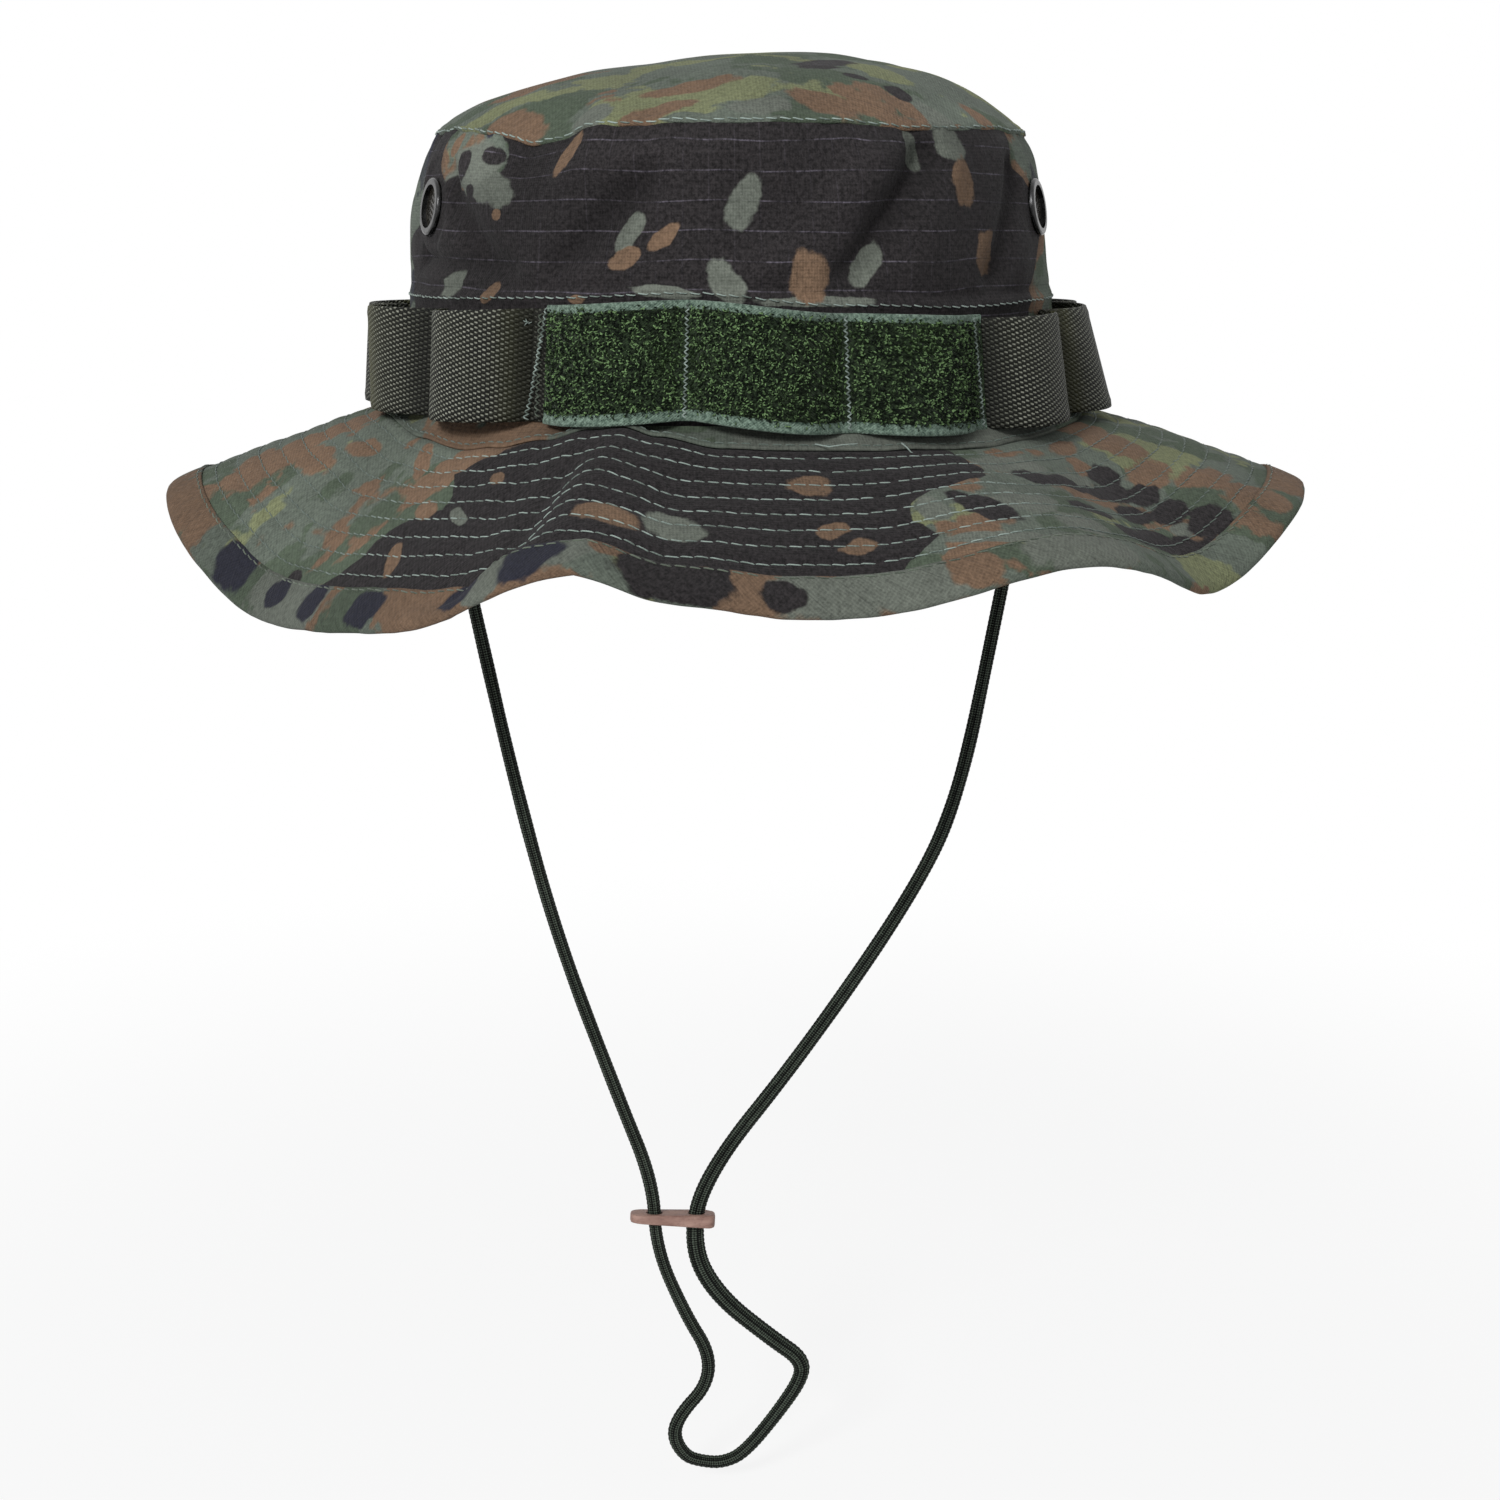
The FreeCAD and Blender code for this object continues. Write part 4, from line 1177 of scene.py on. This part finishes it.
BINDING_DARK = ((-65.5, 4.5, 8.0, 6.5, 0), (-56.5, 5.5, 4.4, 3.4, 0), (-49.0, 5.5, 5.2, 4.0, 0),
                (-39.5, 6.5, 6.0, 4.2, 0), (-27.0, 5.5, 5.6, 4.2, 0), (-20.0, 4.5, 7.5, 6.0, 0))
BINDING_DOTS = ((-8.0, 6.5, 13.0, 5.6, 0), (0.5, 7.0, 5.6, 3.4, 0), (-4.5, 3.0, 3.0, 2.4, 0))
BINDING_RUST = ((-33.5, 6.0, 8.0, 4.8, 0), (-13.5, 2.5, 4.6, 2.6, 0), (16.5, 5.5, 5.8, 5.0, 10),
                (-79.0, 5.0, 14.0, 6.5, 0), (62.0, 5.0, 6.0, 4.0, 0), (38.0, 2.0, 8.0, 1.4, 0),
                (4.5, 0.8, 3.0, 1.6, 0))
BINDING_PALE = ((5.0, 6.0, 14.0, 8.0, 0), (12.0, 6.0, 12.0, 8.0, 0), (27.0, 6.0, 16.0, 8.0, 0),
                (-17.0, 4.0, 7.0, 6.0, 0), (-54.0, 5.0, 22.0, 9.0, 0), (-24.0, 4.0, 6.0, 9.0, 0))


def make_binding():
    cols = 720
    # The seam of the binding is drawn down hard, with a roll of cloth beside it.
    profile = ((0.8333, -0.02), (0.834, 0.36), (0.838, 0.62), (0.85, 0.72), (0.87, 0.78), (0.89, 0.8),
               (0.91, 0.8), (0.93, 0.78), (0.95, 0.72), (0.97, 0.62), (0.985, 0.42), (0.996, 0.05),
               (1.0, -0.55), (0.999, -1.3), (0.992, -1.95), (0.975, -2.35), (0.95, -2.55), (0.92, -2.65),
               (0.89, -2.66), (0.86, -2.62), (0.84, -2.5), (0.834, -2.2), (0.8333, -1.9))
    points, cloth, dark, rust, pale, dots, blue, painted_shade = [], [], [], [], [], [], [], []
    for i, (share, lift) in enumerate(profile):
        for phi in angles(cols):
            points.append(binding_point(phi, share, lift))
            across = i * 0.9
            deg = math.degrees(phi)
            cloth.append(((phi * 0.145 + across * MM) * 0.7 + 5.0, (phi * 0.145 - across * MM) * 0.7, 0.0))
            dark.append(front_calm(deg))
            blue.append(spots(BINDING_DARK, deg, across, 2.7))
            # Painted shade along the binding, deeper from the left side round to the front.
            painted_shade.append(0.35 + 0.4 * (1.0 - eased(deg, -30.0, 25.0)) * eased(deg, -130.0, -100.0))
            dots.append(spots(BINDING_DOTS, deg, across, 2.7))
            pale.append(spots(BINDING_PALE, deg, across, 2.7))
            rust.append(spots(BINDING_RUST, deg, across, 2.7))
    ob = piece("edge_binding", points, grid_faces(len(profile), cols + 1, flip=True), CAMO,
               fields={"cloth": cloth, "dark": dark, "rust": rust, "pale": pale, "dots": dots, "blue": blue,
                       "plain": [1.0] * len(points), "painted_shade": painted_shade, "sun": [-0.8] * len(points)},
               replaces=("brim_binding",), slot="binding_cloth")
    threads = Bundle()
    for side, lift in ((1, 0.74), (-1, -2.64)):
        line = ring_line(720, lambda phi: (binding_point(phi, 0.852, lift), brim_normal(phi, 0.852, side)))
        run_stitches(threads, line, length=2.6, gap=0.5, radius=0.17)
    threads.piece("binding_stitching", DARK_YARN, slot="thread")


make_binding()


# ---------------------------------------------------------------- sweatband
def make_sweatband():
    cols = 400
    levels = (-2.0, -1.6, -0.6, 0.6, 4.0, 8.0, 12.0, 16.0, 20.0, 24.0, 28.0, 30.5, 31.6, 32.0)
    points, cloth = [], []
    for z in levels:
        for phi in angles(cols):
            ruck = 0.22 * bumps(88.0 * math.sin(phi), 88.0 * math.cos(phi), z * 0.4, 9.0, 41.0)
            edge = 0.35 if z in (-2.0, 32.0) else 0.0
            points.append(on_hat(phi, z, -1.75 - edge + min(ruck, 0.1)))
            cloth.append((phi * 0.09, z * MM, 0.0))
    ob = piece("sweatband_lining", points, grid_faces(len(levels), cols + 1), BAND, fields={"cloth": cloth},
               replaces=("sweatband",), slot="sweatband_cloth")
    thicken(ob, BAND_THICK)
    threads = Bundle()
    for z in (0.8, 30.0):
        line = ring_line(400, lambda phi: (on_hat(phi, z, -1.75 - BAND_THICK - 0.05), -outward(phi)))
        run_stitches(threads, line, length=2.6, gap=0.7, radius=0.2)
    threads.piece("sweatband_stitching", DARK_YARN, slot="thread")


make_sweatband()


# ---------------------------------------------------------------- webbing
def loop_of(deg):
    """Which loop an angle falls in, and where between its tacks, from -1 to 1."""
    turned = (deg - FIRST_TACK) % 360.0
    k = int(turned // LOOP_STEP) % LOOPS
    t = (turned - k * LOOP_STEP - LOOP_STEP / 2.0) / (LOOP_STEP / 2.0 - TACK_HALF)
    return k, t


def bulge(deg, v):
    """How far the webbing stands off the wall; v is 0 at its lower edge and 1 at its upper."""
    k, t = loop_of(deg)
    if abs(t) >= 1.0:
        return 0.0
    if k < 3:
        return 5.0 * (1.0 - abs(t) ** 2.1)
    lean = {3: 0.9, 4: 2.4, 14: -0.6, 13: -1.4}.get(k, 0.7 * math.sin(k * 2.4))
    skew = 0.12 * math.sin(k * 1.7)
    shape = (1.0 - abs(t) ** 2.4) * (1.0 + skew * t)
    return (9.9 + 0.5 * math.sin(k * 3.1)) * shape + lean * (0.5 - v) * 2.0 * (1.0 - t * t)


def web_point(deg, v, out):
    z = WEB_LOW + v * (WEB_HIGH - WEB_LOW)
    k, t = loop_of(deg)
    low = max(0.0, 1.0 - t * t) * 0.25 * math.sin(k * 2.0 + 1.0)
    p = on_hat(math.radians(deg), z, out + bulge(deg, v))
    p[2] = z + smooth_table(deg, SEW_SHIFT) + low
    return p


def make_webbing():
    degs = []
    for k in range(LOOPS):
        start = FIRST_TACK + k * LOOP_STEP
        degs += [start - TACK_HALF, start, start + TACK_HALF]
        inner = LOOP_STEP - 2.0 * TACK_HALF
        for i in range(1, 40):
            share = 0.5 - 0.5 * math.cos(math.pi * i / 40.0)
            degs.append(start + TACK_HALF + inner * share)
    degs = sorted(degs)
    ring = [(v, 1.5) for v in np.linspace(0.0, 1.0, 17)]
    ring[0] = (0.0, 1.25)
    ring[-1] = (1.0, 1.25)
    ring += [(1.008, 0.9), (1.0, 0.5)] + [(v, 0.3) for v in np.linspace(0.94, 0.06, 13)]
    ring += [(0.0, 0.5), (-0.008, 0.9)]
    ring = [(v, o + (0.12 if (v < 0.07 or v > 0.93) and o > 1.0 else 0.0)) for v, o in ring]
    points, cloth, painted_olive_highlight, deep = [], [], [], []
    run, before = 0.0, None
    for deg in degs:
        mid = web_point(deg, 0.5, 0.9)
        if before is not None:
            run += float(np.linalg.norm(mid - before))
        before = mid
        k, t = loop_of(deg)
        # Painted olive highlight where each loop turns towards its tacks, set loop by loop.
        turn = 0.0
        if k >= 3:
            turn = 0.75 * math.exp(-((abs(t) - 0.86) / 0.16) ** 2) * (1.0 if t < 0 else 0.6)
        if k == 13:
            turn = 0.8 * math.exp(-((t + 0.2) / 0.35) ** 2)
        if k == 3:
            turn = 0.9 * math.exp(-((t - 0.62) / 0.14) ** 2)
        for v, o in ring:
            points.append(web_point(deg, v, o))
            cloth.append((run * MM, v * 0.0254, 0.0))
            painted_olive_highlight.append(turn)
            # Painted shade: darker near the tacks, towards one end of each loop, and over the loops on the
            # right.
            shade = 0.22 * eased(deg, 30.0, 50.0) * (1.0 - eased(deg, 110.0, 140.0))
            deep.append(min(eased(abs(t), 0.6, 1.0) + 0.25 * eased(t, -0.2, 0.7) + shade, 1.0))
    cols = len(ring)
    rows = len(degs)
    faces = grid_faces(rows, cols, wrap=True)
    last = (rows - 1) * cols
    for c in range(cols):
        d = (c + 1) % cols
        faces.append((last + c, last + d, d, c))
    ob = piece("webbing_loops", points, faces, WEBBING, fields={"cloth": cloth, "painted_olive_highlight": painted_olive_highlight, "deep": deep},
               replaces=("webbing_band",), slot="nylon_webbing")


make_webbing()
TAPE_FROM, TAPE_TO = FIRST_TACK + 1.9, FIRST_TACK + 3 * LOOP_STEP + 1.2


def tape_point(deg, v, out):
    z = TAPE_LOW + v * (TAPE_HIGH - TAPE_LOW)
    k, t = loop_of(deg)
    p = on_hat(math.radians(deg), z, out + bulge(deg, v))
    free = (1.0 - v) ** 3 * max(0.0, 1.0 - t * t)
    p[2] = z + smooth_table(deg, SEW_SHIFT) - 0.5 * free
    return p + outward(math.radians(deg)) * 0.5 * free


PILE_LOOPS = 11500


def make_tape():
    degs = list(np.linspace(TAPE_FROM, TAPE_TO, 150))
    vs = list(np.linspace(0.0, 1.0, 40))
    front = [(v, 2.35 + (0.2 if v < 0.05 or v > 0.95 else 0.0)) for v in vs]
    ring = front + [(1.006, 2.0), (1.0, 1.7)] + [(v, 1.6) for v in np.linspace(0.9, 0.1, 9)]
    ring += [(0.0, 1.7), (-0.006, 2.0)]
    points, cloth, edge = [], [], []
    for deg in degs:
        for v, o in ring:
            p = tape_point(deg, v, o)
            fuzz = 0.12 * bumps(p[0], p[1], p[2], 1.4, 51.0)
            points.append(tape_point(deg, v, o + (fuzz if o > 2.1 else 0.0)))
            cloth.append((deg * 0.0016, v * 0.0265, 0.0))
            d = min(v, 1.0 - v) * 26.5
            reach = 1.0 if v < 0.5 else 0.4
            edge.append(1.0 - eased(d, 0.6 + reach, 2.2 + reach))
    cols, rows = len(ring), len(degs)
    faces = grid_faces(rows, cols, wrap=True)
    faces.append(tuple(range(cols)))
    faces.append(tuple((rows - 1) * cols + c for c in range(cols))[::-1])
    ob = piece("loop_tape_ground", points, faces, TAPE, fields={"cloth": cloth, "edge": edge},
               replaces=("loop_tape",), slot="loop_pile")
    pile = Bundle()
    for _ in range(PILE_LOOPS):
        deg = TAPE_FROM + 0.4 + (TAPE_TO - TAPE_FROM - 0.8) * random.random()
        v = 0.03 + 0.94 * random.random()
        if random.random() > eased(min(v - 0.03, 1.0 - v), 0.03, 0.09) + 0.05:
            continue
        near_tack = min(abs(deg - (FIRST_TACK + k * LOOP_STEP)) for k in range(4))
        if near_tack < 0.45:
            continue
        flat = eased(near_tack, 0.5, 2.2)
        base = tape_point(deg, v, 2.25)
        rad = math.radians(deg)
        away = outward(rad)
        sideways = np.array((math.cos(rad), math.sin(rad), 0.0))
        a = TAU * random.random()
        lean = sideways * math.cos(a) + np.array((0.0, 0.0, 1.0)) * math.sin(a)
        tall = (0.45 + 0.5 * random.random()) * (0.45 + 0.55 * flat)
        span = 0.35 + 0.35 * random.random()
        path = [base, base + away * tall * 0.8 + lean * span * 0.25,
                base + away * tall + lean * span * 0.7,
                base + away * tall * 0.45 + lean * span * 1.1]
        pile.tube(path, (0.13, 0.15, 0.15, 0.11), sides=4, cap=False)
    pile.piece("loop_tape_pile", PILE, slot="loop_pile")


make_tape()


# ---------------------------------------------------------------- sewing
def zigzag(bundle, point, wide, z_from, z_to, pitch, radius, slant=0.0):
    """A bar of zigzag thread: point(u, z) gives the place and outward for a sideways step in mm."""
    steps = int(abs(z_to - z_from) / pitch)
    for i in range(steps):
        s = -1.0 if i % 2 else 1.0
        z0 = z_from + (z_to - z_from) * i / steps
        z1 = z_from + (z_to - z_from) * (i + 1) / steps
        jog = (random.random() - 0.5) * 0.25
        path = []
        for t, rise in ((0.0, -0.2), (0.2, 0.1), (0.5, 0.16), (0.8, 0.1), (1.0, -0.2)):
            z = z0 + (z1 - z0) * t
            u = s * wide * (0.5 - t) + jog + slant * (z - z_from) / (z_to - z_from)
            p, o = point(u, z)
            path.append(p + o * rise)
        bundle.tube(path, (radius * 0.8, radius, radius, radius, radius * 0.8), sides=5, cap=False)


def tack_place(deg, out, use_tape):
    def at(u, v):
        d = deg + u / 1.65
        p = (tape_point if use_tape else web_point)(d, v, out)
        return p, outward(math.radians(d))
    return at


tape_bars, web_bars = Bundle(), Bundle()
for k in range(LOOPS):
    deg = FIRST_TACK + k * LOOP_STEP
    if k < 4:
        lean = (4.8, 0.6, -0.4, -1.6)[k]
        place = tack_place(deg - lean * 0.3, 2.65 if 0 < k < 3 else 2.5, True)
        zigzag(tape_bars, place, 0.9, 0.02, 0.98, 0.024, 0.17, lean)
    zigzag(web_bars, tack_place(deg, 1.66, False), 1.2, 0.04, 0.96, 0.03, 0.17)
tape_bars.piece("tape_bar_stitching", YARN, replaces=("tape_tacks",), slot="thread")
web_bars.piece("webbing_bar_stitching", DARK_YARN, replaces=("webbing_tacks",), slot="thread")



def top_seam(phi):
    r = SEAM_RADIUS + 0.62
    at = np.array((r * math.sin(phi), -(SEAM_RADIUS * DEPTH_RATIO + 0.62) * math.cos(phi),
                   WALL_HEIGHT + 0.1 + seam_shift(phi)))
    return at, outward(phi) + (0.0, 0.0, 0.25)


def welt_seam(phi):
    z = welt_height(math.degrees(phi)) - 0.1
    return on_hat(phi, z, crown_push(phi, z) + 0.05), outward(phi)


def hem_seam(phi):
    return hem_point(phi, 0.86, 0.02), np.array((0.0, 0.0, 1.0))


seams = Bundle()
run_stitches(seams, ring_line(720, top_seam), length=2.5, gap=0.6, radius=0.18)
run_stitches(seams, ring_line(720, welt_seam), length=2.4, gap=0.6, radius=0.17)
run_stitches(seams, ring_line(720, hem_seam), length=2.4, gap=0.6, radius=0.16, faint=lambda p: 0.8)
seams.piece("crown_seam_stitching", YARN, slot="thread")

ends = Bundle()
for deg, drops in ((8.0, ((0, 0, 0), (3, -1.5, 1.2), (6, -1.0, 0.3), (9.5, -1.6, -0.6))),
                   (21.0, ((0, 0, 0), (1.2, -1.2, 2.6), (2.0, -1.4, 5.0), (4.5, -1.0, 7.5)))):
    base = hem_point(math.radians(deg), 1.0, 0.6)
    path = [base + np.array((dx, dy, -dz * 0.4)) for dx, dy, dz in drops]
    ends.tube(path, (0.16, 0.16, 0.14, 0.08), sides=6, tone=0.8)
for i, a in enumerate((0.4, 1.9, 2.7, 4.0)):
    base, out = tack_place(FIRST_TACK - 1.6, 1.9, False)(0.0, 0.87 + 0.006 * i)
    tip = base + out * 0.5 + np.array((1.1 * math.cos(a), 0.0, 1.1 * math.sin(a)))
    ends.tube([base, (base + tip) / 2 + out * 0.4, tip], (0.11, 0.1, 0.06), sides=5, tone=0.7)
ends.piece("loose_thread_ends", YARN, slot="thread")


# ---------------------------------------------------------------- slide
SLIDE_HALF_DEPTH = 4.5
SLIDE_CORNER = 3.2
SLIDE_HOLE = 2.45
SLIDE_TIP, SLIDE_LEAN = math.radians(-12.0), math.radians(4.0)


def make_slide():
    """A cut leather tab, thicker at one end, hanging a little tipped, with a hole for each strand."""
    low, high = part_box("cord_slide")
    x0, x1 = low[0] / MM, high[0] / MM
    outline = []
    for i in range(64):
        a = TAU * i / 64
        side = 1.0 if math.cos(a) > 0 else -1.0
        end = (x1 - x0) / 2.0 - SLIDE_CORNER
        y = math.copysign(abs(math.sin(a)) ** 0.6, math.sin(a)) * SLIDE_HALF_DEPTH
        outline.append((side * end + SLIDE_CORNER * math.cos(a), y))
    points = []
    rings = ((0.9, 1.0), (0.975, 0.88), (1.0, 0.6), (1.0, -0.6), (0.975, -0.88), (0.9, -1.0))
    for scale, level in rings:
        for x, y in outline:
            thick = 2.5 + 1.3 * (x / (x1 - x0) + 0.5)
            sx = x - (1.0 - scale) * SLIDE_HALF_DEPTH * (1 if x > 0 else -1)
            rough = 0.12 * bumps(x, y, level, 3.0, 61.0)
            points.append((sx, y * scale + rough, level * thick / 2.0 + rough))
    faces = grid_faces(len(rings), 64, wrap=True, flip=True)
    faces.append(tuple(range(64)))
    faces.append(tuple(5 * 64 + k for k in range(64))[::-1])
    tip, lean = SLIDE_TIP, SLIDE_LEAN
    placed = []
    for x, y, z in points:
        y, z = y * math.cos(tip) - z * math.sin(tip), y * math.sin(tip) + z * math.cos(tip)
        x, z = x * math.cos(lean) + z * math.sin(lean), -x * math.sin(lean) + z * math.cos(lean)
        placed.append((x + (x0 + x1) / 2.0, y, z + SLIDE_Z))
    ob = piece("leather_slide", placed, faces, LEATHER, body="slide", replaces=("cord_slide",),
               slot="brown_leather")
    for at in (track[first_cut], track[last_cut]):
        turns = [TAU * i / 32 for i in range(32)]
        ring = [(at[0] + SLIDE_HOLE * math.cos(a), at[1] + SLIDE_HOLE * math.sin(a)) for a in turns]
        tube = [(x, y, SLIDE_Z + z) for z in (-8.0, 8.0) for x, y in ring]
        sides = grid_faces(2, 32, wrap=True) + [tuple(range(32))[::-1], tuple(range(32, 64))]
        mesh = bpy.data.meshes.new("punch")
        mesh.from_pydata((np.array(tube) * MM).tolist(), [], sides)
        punch = bpy.data.objects.new("punch", mesh)
        bpy.context.scene.collection.objects.link(punch)
        cut = ob.modifiers.new("hole", "BOOLEAN")
        cut.object = punch
        cut.operation = "DIFFERENCE"
        cut.solver = "EXACT"
        shape = bpy.data.meshes.new_from_object(ob.evaluated_get(bpy.context.evaluated_depsgraph_get()))
        ob.modifiers.remove(cut)
        ob.data = shape
        bpy.data.objects.remove(punch)
    ob.data.set_sharp_from_angle(angle=math.radians(50.0))


make_slide()

# ---------------------------------------------------------------- kept CAD parts
for start, skin in (("vent_eyelet", ENAMEL), ("vent_washer", ENAMEL), ("vent_mesh", MESH_METAL)):
    for name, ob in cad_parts.items():
        if name.startswith(start):
            for s in ob.material_slots:
                s.material = skin

# ---------------------------------------------------------------- light and floor
world = bpy.context.scene.world or bpy.data.worlds.new("World")
bpy.context.scene.world = world
world.use_nodes = True
sky = Tree(world.node_tree)
rays = sky.add("ShaderNodeLightPath").outputs
seen = sky.math("MAXIMUM", rays["Is Camera Ray"], rays["Is Transmission Ray"])
seen = sky.math("MAXIMUM", seen, rays["Is Glossy Ray"])
lit = sky.join("ShaderNodeBackground", (0.96, 0.98, 1.0, 1.0), 0.33)
white = sky.join("ShaderNodeBackground", (1.0, 1.0, 1.0, 1.0), 1.0)
sky.put(sky.add("ShaderNodeOutputWorld").inputs["Surface"], sky.join("ShaderNodeMixShader", seen, lit, white))


def lamp(name, at, size, power):
    """A round soft light that faces the middle of the hat."""
    data = bpy.data.lights.new(name, "AREA")
    data.shape = "DISK"
    data.size = size
    data.energy = power
    ob = new_object(name, data)
    ob.location = at
    ob.rotation_euler = (-Vector(at)).to_track_quat("-Z", "Y").to_euler()


lamp("key", (-0.7, -1.25, 0.75), 0.45, 19.0)
lamp("fill", (1.3, -0.9, 0.6), 1.0, 2.0)

FLOOR_HALF = 3.0
floor_z = cad_box[0][2] - 0.003
corners = [(x * FLOOR_HALF, y * FLOOR_HALF, floor_z) for x, y in ((-1, -1), (1, -1), (1, 1), (-1, 1))]
floor_mesh = bpy.data.meshes.new("floor")
floor_mesh.from_pydata(corners, [], [(0, 1, 2, 3)])
floor = new_object("floor", floor_mesh)
floor_mat = bpy.data.materials.new("floor")
floor_mat.use_nodes = True
# The floor takes the shadow near the hat and goes over to white further out.
ground = Tree(floor_mat.node_tree)
rays = ground.add("ShaderNodeLightPath").outputs
seen = ground.math("MAXIMUM", rays["Is Camera Ray"], rays["Is Glossy Ray"])
span = ground.add("ShaderNodeVectorMath", operation="LENGTH")
ground.put(span.inputs[0], ground.add("ShaderNodeTexCoord").outputs["Object"])
share = ground.math("MULTIPLY", seen, ground.ramp(span.outputs["Value"], 0.35, 0.75, 0.86, 1.0))
matte = ground.join("ShaderNodeBsdfDiffuse", (0.8, 0.8, 0.8, 1.0))
glow = ground.join("ShaderNodeEmission", (1.0, 1.0, 1.0, 1.0), 1.0)
ground.put(ground.add("ShaderNodeOutputMaterial").inputs["Surface"],
           ground.join("ShaderNodeMixShader", share, matte, glow))
floor_mesh.materials.append(floor_mat)

bpy.context.scene.view_settings.view_transform = "Standard"
